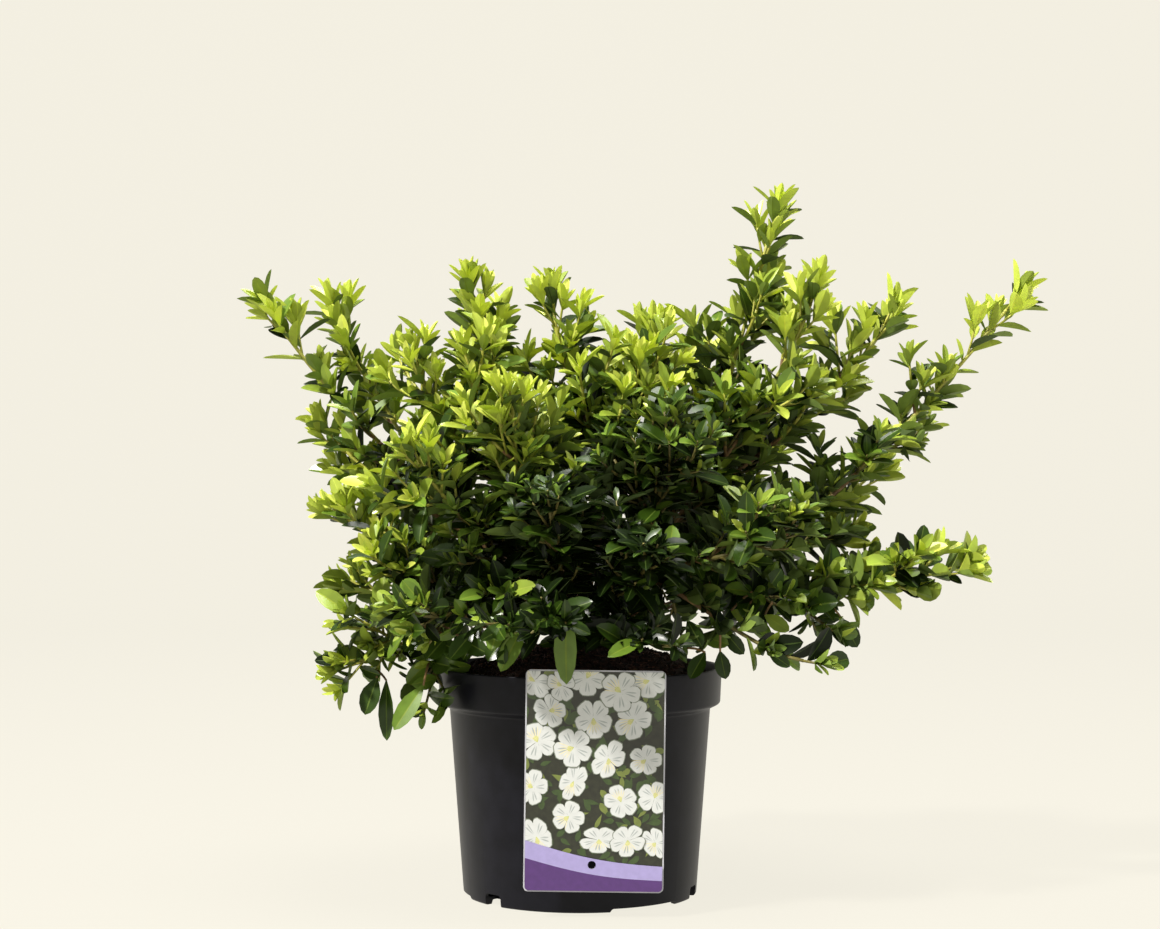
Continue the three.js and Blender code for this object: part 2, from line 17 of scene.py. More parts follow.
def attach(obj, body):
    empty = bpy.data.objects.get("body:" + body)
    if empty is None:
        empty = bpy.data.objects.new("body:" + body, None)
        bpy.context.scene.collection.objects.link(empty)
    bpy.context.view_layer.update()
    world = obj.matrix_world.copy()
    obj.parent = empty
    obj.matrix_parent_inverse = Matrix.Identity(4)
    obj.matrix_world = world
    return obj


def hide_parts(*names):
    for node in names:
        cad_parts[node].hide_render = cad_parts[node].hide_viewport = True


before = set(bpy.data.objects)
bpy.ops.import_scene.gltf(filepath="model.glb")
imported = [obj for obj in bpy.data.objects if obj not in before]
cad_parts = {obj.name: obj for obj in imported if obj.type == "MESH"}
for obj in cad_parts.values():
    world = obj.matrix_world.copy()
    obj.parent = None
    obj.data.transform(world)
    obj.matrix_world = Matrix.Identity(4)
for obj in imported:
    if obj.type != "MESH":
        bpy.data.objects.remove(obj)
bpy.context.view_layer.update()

# %% [markdown]
# ## Working in millimetres
#
# A gardener thinks of this plant in millimetres, and Blender works in metres. Every size below is
# therefore written in millimetres, and one helper turns points into a mesh and scales them once.
# Building a mesh from lists of points is quicker than thousands of calls to Blender's operators.

# %% Make a mesh piece from points
MM = 0.001


def unit(vector):
    return vector / np.linalg.norm(vector)


def add_object(name, data):
    """An object for a mesh, a curve, a lamp or a camera, linked into the scene."""
    thing = bpy.data.objects.new(name, data)
    bpy.context.collection.objects.link(thing)
    return thing


def new_mesh(name, points, faces):
    """A mesh from points in millimetres."""
    mesh = bpy.data.meshes.new(name)
    mesh.from_pydata((np.asarray(points, float) * MM).tolist(), [], faces)
    return mesh


def new_piece(name, points, faces, materials, face_materials=None, smooth=True):
    """A mesh object from points in millimetres, riding on the plant's one body."""
    mesh = new_mesh(name, points, faces)
    for material in materials:
        mesh.materials.append(material)
    if face_materials is not None:
        mesh.polygons.foreach_set("material_index", face_materials)
    mesh.polygons.foreach_set("use_smooth", [smooth] * len(mesh.polygons))
    mesh.update()
    piece = add_object(name, mesh)
    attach(piece, "root")
    return piece


class Heap:
    """Many small shapes gathered into one list of points and one of faces."""

    def __init__(self):
        self.points, self.faces, self.kinds, self.count = [], [], [], 0

    def add(self, points, faces, kind=0):
        self.points.append(np.asarray(points, float))
        self.faces.extend([tuple(i + self.count for i in face) for face in faces])
        self.kinds.extend([kind] * len(faces))
        self.count += len(points)

    def piece(self, name, materials, smooth=True):
        return new_piece(name, np.concatenate(self.points), self.faces, materials, self.kinds, smooth)


# %% [markdown]
# ## Finishes
#
# Each surface gets its own node material. A pattern image could be wrapped round the pot or a leaf,
# but noise worked out in the object's own space needs no unwrapping and holds up at any distance.
# Colours are written as they would be picked on a screen and turned into linear light by a helper.

# %% Helpers for node materials
# Where a mottled surface has its first colour, any middle one and its last, as shares of the noise
MOTTLE_STOPS = (0.34, 0.5, 0.68)


def screen_colour(*parts):
    """A colour picked on a screen, its parts from 0 to 255, as Blender's linear colour."""
    shares = [part / 255 for part in parts]
    linear = [s / 12.92 if s <= 10 / 255 else ((s + 0.055) / 1.055) ** 2.4 for s in shares]
    return (*linear, 1.0)


def shaded(colour, factor):
    """A linear colour made darker or lighter."""
    return (*(min(1.0, part * factor) for part in colour[:3]), 1.0)


def blank_material(name):
    material = bpy.data.materials.new(name)
    material.use_nodes = True
    nodes = material.node_tree.nodes
    return material, nodes, nodes["Principled BSDF"]


def settle(node, **values):
    """Sets a node's inputs by name, with an underscore for each space in a name."""
    for name, value in values.items():
        node.inputs[name.replace("_", " ")].default_value = value
    return node


def wire(start, output, end, socket):
    """Links one node's output to another's input."""
    start.id_data.links.new(start.outputs[output], end.inputs[socket])


def colour_ramp(nodes, first, last, middle=()):
    """A ramp through a first and a last (place, colour) and any between them."""
    ramp = nodes.new("ShaderNodeValToRGB")
    steps = ramp.color_ramp.elements
    for step, (place, colour) in zip(steps, (first, last)):
        step.position, step.color = place, colour
    for place, colour in middle:
        steps.new(place).color = colour
    return ramp


def mottle(nodes, shader, colours, scale, detail=3.0, stretch=(1, 1, 1)):
    """Base colour that wanders between two or more colours, by noise in the object's own space."""
    place = nodes.new("ShaderNodeTexCoord")
    squeeze = settle(nodes.new("ShaderNodeMapping"), Scale=stretch)
    noise = settle(nodes.new("ShaderNodeTexNoise"), Scale=scale, Detail=detail)
    first, middle, last = MOTTLE_STOPS
    between = [(middle, colour) for colour in colours[1:-1]]
    ramp = colour_ramp(nodes, (first, colours[0]), (last, colours[-1]), between)
    wire(place, "Object", squeeze, "Vector")
    wire(squeeze, "Vector", noise, "Vector")
    wire(noise, "Fac", ramp, "Fac")
    wire(ramp, "Color", shader, "Base Color")
    return noise


def roughen(nodes, shader, noise, strength, depth):
    """Small bumps that follow a noise, so that highlights break up."""
    bump = settle(nodes.new("ShaderNodeBump"), Strength=strength, Distance=depth)
    wire(noise, "Fac", bump, "Height")
    wire(bump, "Normal", shader, "Normal")


def surface(name, colours, roughness, scale, shade=None, bump=0.0, depth=0.0005, stretch=(1, 1, 1), **more):
    """A mottled material from screen colours, or from one of them and how dark its shade is."""
    material, nodes, shader = blank_material(name)
    settle(shader, Roughness=roughness, **more)
    linear = [screen_colour(*colour) for colour in colours]
    if shade:
        linear = [shaded(linear[0], shade), *linear]
    noise = mottle(nodes, shader, linear, scale, stretch=stretch)
    if bump:
        roughen(nodes, shader, noise, bump, depth)
    return material


# %% [markdown]
# ## The pot
#
# The real pot is a blow-moulded nursery pot of black plastic: a tapered body, a deep collar with a
# rounded rim for stacking, and a foot with small drainage notches. A stack of cylinders would do for
# a far view. Here one outline is turned round the axis, because the collar's soft edges catch the
# light, and the notches are then cut out of the foot with Boolean modifiers.

# %% The pot's sizes and finish
POT_HEIGHT = 135.5
POT_BASE_RADIUS = 69.6
POT_SHOULDER_RADIUS = 78.0
POT_SHOULDER_HEIGHT = 111.0
POT_COLLAR_FOOT_RADIUS = 84.0
POT_COLLAR_RADIUS = 85.0
POT_WALL = 1.7
POT_FLOOR = 4.3
POT_FOOT_LIFT = 2.5
POT_BOSS_RADIUS = 14.0
POT_FACETS = 144

pot_plastic = surface(
    "pot_plastic", [(14, 14, 20), (20, 20, 27)],
    roughness=0.4, scale=90.0, bump=0.06, depth=0.0003, Specular_IOR_Level=0.15,
)


def band(low, high):
    """Faces that join one ring of numbered points to the next."""
    n = len(low)
    return [(low[i], low[(i + 1) % n], high[(i + 1) % n], high[i]) for i in range(n)]


def turned(profile, facets):
    """A closed skin of revolution about the upright axis, from a profile of (radius, height)."""
    angles = np.linspace(0, 2 * pi, facets, endpoint=False)
    points, rows, faces = [], [], []
    for radius, height in profile:
        ring = [(radius * cos(a), radius * sin(a), height) for a in (angles if radius else [0])]
        rows.append(range(len(points), len(points) + len(ring)))
        points += ring
    for low, high in zip(rows, rows[1:]):
        if len(low) == 1:
            faces += [(low[0], high[(i + 1) % facets], high[i]) for i in range(facets)]
        elif len(high) == 1:
            faces += [(low[i], low[(i + 1) % facets], high[0]) for i in range(facets)]
        else:
            faces += band(low, high)
    return points, faces


def rounded_profile(corners, steps=4):
    """A profile whose corners, given as (radius, height, rounding), are rounded by small arcs."""
    shares = np.linspace(0, 1, steps + 1)
    outline = []
    for i, (radius, height, rounding) in enumerate(corners):
        if not rounding:
            outline.append((radius, height))
            continue
        corner = np.array([radius, height])
        start, end = (corner + unit(corners[j][:2] - corner) * rounding for j in (i - 1, i + 1))
        outline += [tuple((1 - s) ** 2 * start + 2 * s * (1 - s) * corner + s * s * end) for s in shares]
    return outline


# %% Turn the pot and cut its notches
POT_CORNERS = [
    (0, 0, 0),
    (POT_BOSS_RADIUS, 0, 0.6),
    (POT_BOSS_RADIUS + 1, POT_FOOT_LIFT, 0.6),
    (POT_BASE_RADIUS - 5.5, POT_FOOT_LIFT, 0.6),
    (POT_BASE_RADIUS - 4.5, 0, 0.4),
    (POT_BASE_RADIUS, 0, 1.6),
    (POT_SHOULDER_RADIUS, POT_SHOULDER_HEIGHT, 1.2),
    (POT_COLLAR_FOOT_RADIUS, POT_SHOULDER_HEIGHT + 3.0, 1.3),
    (POT_COLLAR_RADIUS, POT_HEIGHT, 0.85),
    (POT_COLLAR_RADIUS - POT_WALL, POT_HEIGHT, 0.8),
    (POT_COLLAR_FOOT_RADIUS - POT_WALL, POT_SHOULDER_HEIGHT + 4.4, 1.0),
    (POT_SHOULDER_RADIUS - POT_WALL, POT_SHOULDER_HEIGHT + 1.0, 1.0),
    (POT_BASE_RADIUS - POT_WALL, POT_FLOOR, 2.0),
    (0, POT_FLOOR, 0),
]
# Width, height and headings of the drainage notches and of the shallow arches between them
FOOT_CUTS = [(13, 7, (223.6, 343, 103)), (46, 2.2, (304, 64, 184))]
# How far a cutter reaches inside and outside the foot's edge
CUTTER_REACH = (-9, 6)


def foot_cutter(width, height, heading):
    """A block with rounded upper edges that reaches through the foot at one heading."""
    corner = min(2.0, height * 0.8)
    outline = [(-width / 2, -2), (width / 2, -2), (width / 2, height - corner)]
    outline += [
        (width / 2 - corner * (1 - cos(a)), height - corner * (1 - sin(a)))
        for a in np.linspace(0.2, 1.4, 4)
    ]
    outline += [(-x, z) for x, z in reversed(outline[2:])]
    points = [(POT_BASE_RADIUS + reach, x, z) for reach in CUTTER_REACH for x, z in outline]
    n = len(outline)
    faces = [tuple(reversed(range(n))), tuple(range(n, 2 * n)), *band(range(n), range(n, 2 * n))]
    turn = np.array(Matrix.Rotation(radians(heading), 3, "Z"))
    return add_object("foot_cutter", new_mesh("foot_cutter", np.array(points) @ turn.T, faces))


def shaped_mesh(thing):
    """The mesh that an object's modifiers, or its curve, come to."""
    return bpy.data.meshes.new_from_object(thing.evaluated_get(bpy.context.evaluated_depsgraph_get()))


def apply_modifiers(piece):
    """Keeps what the modifiers make as the piece's own mesh."""
    piece.data = shaped_mesh(piece)
    piece.modifiers.clear()


pot = new_piece("pot_shell", *turned(rounded_profile(POT_CORNERS), POT_FACETS), [pot_plastic])
cutters = [foot_cutter(width, height, turn) for width, height, turns in FOOT_CUTS for turn in turns]
for cutter in cutters:
    notch = pot.modifiers.new("notch", "BOOLEAN")
    notch.object = cutter
    notch.operation = "DIFFERENCE"
    notch.solver = "EXACT"
apply_modifiers(pot)
for cutter in cutters:
    bpy.data.objects.remove(cutter)
split = pot.modifiers.new("crisp_edges", "EDGE_SPLIT")
split.split_angle = radians(38)
apply_modifiers(pot)
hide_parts("pot")
print("pot faces:", len(pot.data.polygons))

# %% [markdown]
# ## The compost
#
# Dark peaty compost stands a little above the rim in a low dome, as it does when a shrub has just
# been potted on. A bumped disc looks like a lid, so a fine dome is pushed up and down by layered
# waves and then strewn with crumbs and slivers of bark, which are real little meshes.

# %% Shape the compost
SOIL_TOP = 147.0
SOIL_SEAT_RADIUS = 20.0
SOIL_EDGE_HEIGHT = 128.0
SOIL_LUMP = 1.6
SOIL_DOME_POWER = 1.7
SOIL_EDGE_RADIUS = POT_COLLAR_FOOT_RADIUS - POT_WALL - 0.9
# Below its top the bed keeps just inside the collar and the tapered wall: (radius, height)
SOIL_SIDE = [
    (POT_COLLAR_FOOT_RADIUS - POT_WALL - 1.1, POT_SHOULDER_HEIGHT + 6),
    (POT_SHOULDER_RADIUS - POT_WALL - 1.2, POT_SHOULDER_HEIGHT + 1.8),
    (POT_BASE_RADIUS - POT_WALL - 1.1, POT_FLOOR + 8),
]
SOIL_RINGS = 64
SOIL_SPOKES = 180
CRUMBS = 2600
CRUMB_SHAPE = (1, 0.8, 0.7)
# Crumbs leave the bed's edge free, and this share of its area round the trunk
CRUMB_MARGIN = 3
TRUNK_CLEARING = 0.03
# Every so many crumbs one is a sliver of bark
SLIVER_EVERY = 9
SLIVER_SHAPE = (2.4, 0.9, 0.35)
# A little over a full turn, for draws of any angle
ANY_TURN = 6.3

compost = surface(
    "compost", [(18, 10, 8), (40, 22, 17), (62, 36, 27)], roughness=0.95, scale=320.0, bump=0.8, depth=0.0012
)
bark_chip = surface("bark_chip", [(58, 34, 24), (104, 68, 46)], roughness=0.9, scale=420.0, bump=0.5)


def soil_height(x, y):
    """The compost's top at a place: the solid's own dome and lumps."""
    outer = POT_SHOULDER_RADIUS + 2
    share = max(0.0, (hypot(x, y) - SOIL_SEAT_RADIUS) / (outer - SOIL_SEAT_RADIUS))
    dome = SOIL_TOP + (SOIL_EDGE_HEIGHT - SOIL_TOP) * share**SOIL_DOME_POWER
    ripple = sin(x * 0.19 + 1.3) * cos(y * 0.23) + sin((x + y) * 0.11)
    fade = min(1, share * 4) * max(0, min(1, (1 - share) * 4))
    return dome + SOIL_LUMP * 0.5 * ripple * fade


def crumbliness(x, y):
    """Finer lumps for the picture only, a millimetre or so high."""
    coarse = sin(x * 0.71 + 2 * sin(y * 0.33)) * sin(y * 0.63 + 2 * sin(x * 0.29))
    fine = sin(x * 1.9 + 3 * sin(y * 0.9)) * sin(y * 1.7 + 3 * sin(x * 0.8))
    return 0.9 * coarse + 0.5 * fine


def make_soil():
    points = [(0, 0, SOIL_TOP)]
    for ring in range(1, SOIL_RINGS + 1):
        radius = SOIL_EDGE_RADIUS * ring / SOIL_RINGS
        for spoke in range(SOIL_SPOKES):
            angle = 2 * pi * spoke / SOIL_SPOKES
            x, y = radius * cos(angle), radius * sin(angle)
            points.append((x, y, soil_height(x, y) + crumbliness(x, y) * min(1, radius / 12)))
    edge = [(x / SOIL_EDGE_RADIUS, y / SOIL_EDGE_RADIUS) for x, y, _ in points[-SOIL_SPOKES:]]
    for radius, height in SOIL_SIDE:
        points += [(x * radius, y * radius, height) for x, y in edge]
    faces = [(0, 1 + i, 1 + (i + 1) % SOIL_SPOKES) for i in range(SOIL_SPOKES)]
    for ring in range(SOIL_RINGS - 1 + len(SOIL_SIDE)):
        base = 1 + ring * SOIL_SPOKES
        for i in range(SOIL_SPOKES):
            j = (i + 1) % SOIL_SPOKES
            faces.append((base + i, base + SOIL_SPOKES + i, base + SOIL_SPOKES + j, base + j))
    faces.append(tuple(reversed(range(len(points) - SOIL_SPOKES, len(points)))))
    return new_piece("compost_bed", points, faces, [compost])


def make_crumbs(random):
    """Crumbs as squashed eight-faced lumps, and a few flat slivers of bark."""
    heap = Heap()
    corners = np.array([(1, 0, 0), (0, 1, 0), (-1, 0, 0), (0, -1, 0), (0, 0, 1), (0, 0, -1)], float)
    faces = [(0, 1, 4), (1, 2, 4), (2, 3, 4), (3, 0, 4), (1, 0, 5), (2, 1, 5), (3, 2, 5), (0, 3, 5)]
    for i in range(CRUMBS):
        radius = (SOIL_EDGE_RADIUS - CRUMB_MARGIN) * sqrt(random.uniform(TRUNK_CLEARING, 1))
        angle = random.uniform(0, 2 * pi)
        x, y = radius * cos(angle), radius * sin(angle)
        sliver = i % SLIVER_EVERY == 0
        size = random.uniform(0.8, 2.0) * np.array(SLIVER_SHAPE if sliver else CRUMB_SHAPE)
        turn = np.array(Matrix.Rotation(random.uniform(0, ANY_TURN), 3, Vector(random.normal(size=3))))
        if sliver:
            turn = np.array(Matrix.Rotation(random.uniform(0, ANY_TURN), 3, "Z"))
        jitter = 1 + 0.25 * random.normal(size=(6, 1))
        shape = (corners * jitter * size) @ turn.T + (x, y, soil_height(x, y) + 0.3)
        heap.add(shape, faces, 1 if sliver else 0)
    return heap.piece("compost_crumbs", [compost, bark_chip], smooth=False)


soil = make_soil()
crumbs = make_crumbs(np.random.default_rng(7))
for piece in (soil, crumbs):
    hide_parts("soil")
print("compost crumbs:", CRUMBS)

# %% [markdown]
# ## The limbs' lines
#
# The crown starts from the same skeleton as the solids: a short trunk, eleven boughs, and three stems
# from each bough's tip. Each line is a curve through a few worked-out points. Typing the curves in by
# hand would drift from the solids, so the same table of headings, leans and reaches is used here, and
# the same rule turns it into curves.

# %% Curves measured along their length
CURVE_STEPS = 200


class Line:
    """A smooth curve drawn by its control points and measured along its length."""

    def __init__(self, *control):
        self.control = [np.array(point, float) for point in control]
        self.steps = np.linspace(0, 1, CURVE_STEPS + 1)
        gaps = np.linalg.norm(np.diff(self.raw(self.steps), axis=0), axis=1)
        self.run = np.concatenate([[0], np.cumsum(gaps)])
        self.length = float(self.run[-1])

    def raw(self, steps):
        row = [np.outer(np.ones_like(steps), point) for point in self.control]
        while len(row) > 1:
            row = [a + (b - a) * steps[:, None] for a, b in zip(row, row[1:])]
        return row[0]

    def step_at(self, shares):
        return np.interp(np.atleast_1d(shares) * self.length, self.run, self.steps)

    def at(self, share):
        points = self.raw(self.step_at(share))
        return points if np.ndim(share) else points[0]

    def along(self, share):
        steps = self.step_at(share)
        ahead = self.raw(np.minimum(steps + 1e-4, 1)) - self.raw(np.maximum(steps - 1e-4, 0))
        ahead /= np.linalg.norm(ahead, axis=1)[:, None]
        return ahead if np.ndim(share) else ahead[0]


def bent_line(root, first, second, length):
    """A line that sets out one way and goes on another way from its middle."""
    middle = root + first * length / 2
    return Line(root, middle, middle + second * length / 2)


def direction(heading, lean):
    """The way that points to a heading round the pot and leans this far from upright."""
    turn, down = radians(heading), radians(lean)
    return np.array([sin(down) * cos(turn), sin(down) * sin(turn), cos(down)])


def turned_about(vector, axis, angle):
    """A vector turned about an axis."""
    across = np.cross(axis, vector)
    return vector * cos(angle) + across * sin(angle) + axis * np.dot(axis, vector) * (1 - cos(angle))


UP = np.array([0.0, 0.0, 1.0])
GOLDEN_ANGLE = pi * (3 - sqrt(5))

# %% The trunk and boughs as lines
SEAT = 0.3
TRUNK_HEIGHT = 32.0
TRUNK_RADIUS = 6.2
TRUNK_TIP_RADIUS = 5.6
TRUNK_FLARE = 4.5
TRUNK_FLARE_HEIGHT = 6.0
TRUNK_LEAN = (1.5, -1.0)
BOUGH_RADIUS = 2.7
BOUGH_TIP_RADIUS = 2.15
CROWN_FOOT = 20.0
STEM_RADIUS = 1.5
STEM_TIP_RADIUS = 1.0
OVERHANG = 28.0
# How far apart stems stand round a bough's tip, in stem radii, and how firmly a stem keeps its course at
# its end, and at its foot compared with its end
STEM_SEATS = 1.22
STEM_PULL = 0.36
FOOT_PULL = 0.7

# Name, heading, lean at the foot and at the tip, length, height up the trunk, place beside its middle
BOUGHS = [
    ("left_bough", 180, 62, 50, 62, 22, 0),
    ("left_low_bough", 190, 84, 76, 54, 9, 0),
    ("left_top_bough", 196, 38, 30, 66, 31, 3.1),
    ("top_bough", 20, 12, 8, 62, 31, 3.1),
    ("spire_bough", 0, 54, 40, 64, 21, 0),
    ("right_bough", 356, 80, 68, 64, 10, 0),
    ("front_bough", 268, 86, 78, 44, 8, 0),
    ("front_left_bough", 232, 68, 56, 56, 18, 0),
    ("front_right_bough", 306, 70, 58, 56, 16, 0),
    ("back_left_bough", 132, 74, 64, 58, 17, 0),
    ("back_right_bough", 52, 74, 62, 58, 17, 0),
]
# For each bough, its three masses: name, heading, lean and reach of the leading leaf tips, lean of the
# stem's end, reach of the side twigs, and the bare share of the stem where it isn't a tenth
MASSES = [
    [("left_high", 184, 46, 280, 34, 26, 0.2), ("left_twin", 172, 40, 258, 26, 32, 0.15),
     ("left_mid", 176, 55, 210, 42, 38, 0.12)],
    [("left_side", 193, 68, 178, 55, 50), ("left_low", 173, 84, 160, 66, 52),
     ("left_skirt", 199, 101, 168, 108, 48, 0.15)],
    [("left_shoulder", 203, 35, 206, 18, 66), ("top_left", 181, 19, 224, 4, 54),
     ("back_left_top", 130, 30, 204, 16, 66)],
    [("top_centre", 190, 5, 211, 4, 36), ("top_middle", 12, 15, 196, 8, 62),
     ("back_top", 82, 34, 188, 14, 66)],
    [("spire", 5, 26.6, 288, 16, 48), ("spire_second", 349, 37, 258, 20, 50),
     ("right_shoulder", 5, 46.8, 282, 30, 44)],
    [("right_high", 0, 54.6, 342, 39, 32), ("right_mid", 10, 66, 222, 50, 48),
     ("right_low", 353, 82.8, 248, 70, 42, 0.12)],
    [("front_centre", 288, 74, 158, 56, 52), ("front_middle", 262, 62, 162, 42, 54),
     ("front_low", 262, 88, 142, 88, 50)],
    [("front_left", 228, 56, 188, 38, 60), ("front_bright", 246, 38, 180, 18, 60),
     ("front_left_low", 227, 88, 156, 74, 54)],
    [("front_right", 300, 44, 178, 26, 60), ("front_right_low", 322, 70, 186, 54, 56),
     ("right_skirt", 328.5, 98.5, 178, 97, 23, 0.12)],
    [("back_left", 142, 52, 190, 34, 54), ("back_left_low", 140, 80, 176, 66, 58),
     ("back_low", 102, 70, 180, 56, 58)],
    [("back_right_top", 52, 36, 212, 18, 66), ("back_right", 36, 58, 206, 40, 50),
     ("back_right_low", 42, 82, 190, 70, 58)],
]

soil_seat = np.array([0, 0, SOIL_TOP + SEAT])
crown_foot = np.array([0, 0, SOIL_TOP + CROWN_FOOT])
trunk_line = Line(soil_seat, soil_seat + (0, 0, TRUNK_HEIGHT / 2), soil_seat + (*TRUNK_LEAN, TRUNK_HEIGHT))


def bough_line(heading, foot, tip, length, start, aside):
    root = trunk_line.at(start / TRUNK_HEIGHT) + direction(heading, 90) * aside
    return bent_line(root, direction(heading, foot), direction(heading, tip), length)


bough_lines = {name: bough_line(*sizes) for name, *sizes in BOUGHS}
print("boughs:", {name: round(line.length) for name, line in bough_lines.items()})

# %% The stems of the leafy masses
# One leafy mass: its stem's line, its name and the sizes that its twigs keep to
Mass = namedtuple("Mass", "stem name heading lean reach end girth bare", defaults=[0.1])


def stem_lines(rows, bough):
    """Stems that start side by side round a bough's tip and then part towards their goals."""
    tip, ahead = bough.at(1), bough.along(1)
    goals = [direction(r[1], r[2]) * (r[3] - OVERHANG) + crown_foot for r in rows]
    to_first = goals[0] - tip
    first = unit(to_first - ahead * np.dot(to_first, ahead))
    across = np.cross(ahead, first)

    def seat(turn):
        return first * cos(turn) + across * sin(turn)

    third = 2 * pi / 3
    wanted = goals[1] - tip
    sense = 1 if np.dot(wanted, seat(third)) > np.dot(wanted, seat(-third)) else -1
    lines = []
    for i, (row, goal) in enumerate(zip(rows, goals)):
        root = tip + ahead * SEAT + seat(sense * third * i) * STEM_RADIUS * STEM_SEATS
        pull = np.linalg.norm(goal - root) * STEM_PULL
        foot = root + ahead * pull * FOOT_PULL
        lines.append(Line(root, foot, goal - direction(row[1], row[4]) * pull, goal))
    return lines


masses = [
    Mass(stem, *row)
    for rows, bough in zip(MASSES, bough_lines.values())
    for row, stem in zip(rows, stem_lines(rows, bough))
]
mass_names = [mass.name for mass in masses]
print("stems:", len(masses), "longest:", round(max(mass.stem.length for mass in masses)), "mm")

# %% [markdown]
# ## Room to grow
#
# In a real shrub twigs fill the gaps between their neighbours and thin out where it is dark. Leaves
# could be scattered over a ball, but then they float. Here every twig has to end in the space that
# belongs to its own mass, which is the space nearer to its stem than to any other stem, and clear of
# the wood, the compost, the pot and the card.

# %% Test whether a place is free
ROOM = 2.2
LABEL_WIDTH = 79.0
LABEL_OFFSET = 7.4
stem_points = np.array([mass.stem.at(np.linspace(0, 1, 25)) for mass in masses])
wood_points = np.concatenate(
    [line.at(np.linspace(0, 1, 13)) for line in bough_lines.values()]
    + [trunk_line.at(np.linspace(0, 1, 7))]
)


def clear_of_pot(point, room):
    """True where a place is clear of compost, pot and card."""
    x, y, z = point
    radius = hypot(x, y)
    if radius < POT_SHOULDER_RADIUS:
        return z > soil_height(x, y) + room
    if radius < POT_COLLAR_RADIUS + room:
        return z > POT_HEIGHT + 2 * room
    in_front = y < 0 and abs(x - LABEL_OFFSET) < LABEL_WIDTH / 2 + room
    return not in_front or y < -POT_COLLAR_RADIUS - 2 * room or z > POT_HEIGHT + 4 * room


def is_free(point, index, room=ROOM):
    """True where a place is in this mass's own space and clear of everything else."""
    gaps = np.linalg.norm(stem_points - point, axis=2).min(axis=1)
    own = gaps[index]
    gaps[index] = np.inf
    if gaps.min() < own + 2 * room:
        return False
    if np.linalg.norm(wood_points - point, axis=1).min() < TRUNK_RADIUS + room:
        return False
    return clear_of_pot(point, room)


# %% [markdown]
# ## Twigs
#
# Side twigs leave each stem in a spiral, lean out and lift towards the light, and on them stand the
# short leafy sprays of this year. The order of the random numbers is that of the solids' own rule, so
# the side twigs are the same ones, and the sprays carry them on to a finer crown.

# %% Grow the side twigs by the solids' rule
TWIG_SPACING = 39
TWIG_ANGLE = radians(52)
TWIG_LIFT = 0.65
TWIG_LAST = 0.84
TWIG_SHORTEST = 18
TWIG_TURNS = (0, 0.8, -0.8, 1.6)
TWIG_CUTS = (1, 0.75, 0.55)
# Seeds of neighbouring masses are this far apart, and random whole numbers keep to 32 bits
SEED_STEP = 1009
MASK = 0xFFFFFFFF


def seeded(seed):
    """Random numbers from 0 to 1, the same row of them for the same seed."""
    state = seed & MASK

    def draw():
        nonlocal state
        state = (state + 0x6D2B79F5) & MASK
        mixed = ((state ^ (state >> 15)) * (state | 1)) & MASK
        mixed ^= (mixed + ((mixed ^ (mixed >> 7)) * (mixed | 61) & MASK)) & MASK
        return (mixed ^ (mixed >> 14)) / (MASK + 1)

    return draw


def branch_off(parent, share, roll, angle):
    """Where a shoot or leaf leaves its parent, the parent's way there, and the way it leans out."""
    root, ahead = parent.at(share), parent.along(share)
    side = turned_about(unit(np.cross(ahead, UP)), ahead, roll)
    return root, ahead, ahead * cos(angle) + side * sin(angle)


def side_line(parent, share, roll, length, angle, lift):
    """A shoot that leaves its parent at an angle and lifts towards the light."""
    root, _, out = branch_off(parent, share, roll, angle)
    return bent_line(root, out, unit(out + UP * lift), length)


def side_twigs(index):
    """The side twigs of a mass that end in its own space."""
    mass, random = masses[index], seeded(SEED_STEP * (index + 1))
    lift = TWIG_LIFT * max(0.0, cos(radians(mass.end)))
    turn = random() * 2 * pi
    count = floor(mass.stem.length / TWIG_SPACING + 0.5)
    lines = []
    for i in range(count):
        share = mass.bare + (TWIG_LAST - mass.bare) * (i + 0.5) / count
        full = mass.girth * sqrt(1 - share) * (0.85 + 0.4 * random())
        tries = [(cut, aside) for cut in TWIG_CUTS for aside in TWIG_TURNS if full * cut > TWIG_SHORTEST]
        for cut, aside in tries:
            roll = turn + i * GOLDEN_ANGLE + aside
            line = side_line(mass.stem, share, roll, full * cut, TWIG_ANGLE, lift)
            if all(is_free(point, index) for point in line.at(np.array([0.6, 1.0]))):
                lines.append(line)
                break
    return lines


twig_lines = [side_twigs(i) for i in range(len(masses))]
print("side twigs:", sum(len(lines) for lines in twig_lines))

# %% Carry the twigs on to finer leafy sprays
SPRAY_SPACING = 7.1
# A mass that is slimmer than this carries its sprays further apart
FULL_GIRTH = 42.0
# Masses whose sprays stand further apart than in the others, or closer
OPENNESS = {
    "spire": 1.3, "spire_second": 1.25, "right_shoulder": 1.35, "right_high": 1.3, "right_mid": 1.25,
    "front_centre": 0.8, "front_middle": 0.85, "top_middle": 0.9, "front_right": 0.95,
}
SPRAY_ANGLE = radians(40)
SPRAY_LIFT = 0.9
SPRAY_ROOM = 0.2
SPRAY_TURNS = (0, 1.1, -1.1, 2.2)
# Leaves start at this share of a spray, and at this share of a shoot of the whorl
SPRAY_FOOT = 0.12
WHORL_FOOT = 0.1
LEADER = 15.0
LEADER_LIFT = 0.5
# A stem ends in a whorl: besides the leader, shoots leave it lower down and lean aside, except in a
# mass that is slimmer than SLIM
WHORL = [(0.94, 0.0), (0.9, 2.1), (0.86, 4.2)]
WHORL_LENGTH = 24.0
WHORL_ANGLE = radians(28)
SLIM = 25.0
# The newest end of a stem or twig is a plain leafy candle, so sprays grow on its inner part only
SPRAYED_PART = [(0.04, 0.8), (0.1, 0.76)]
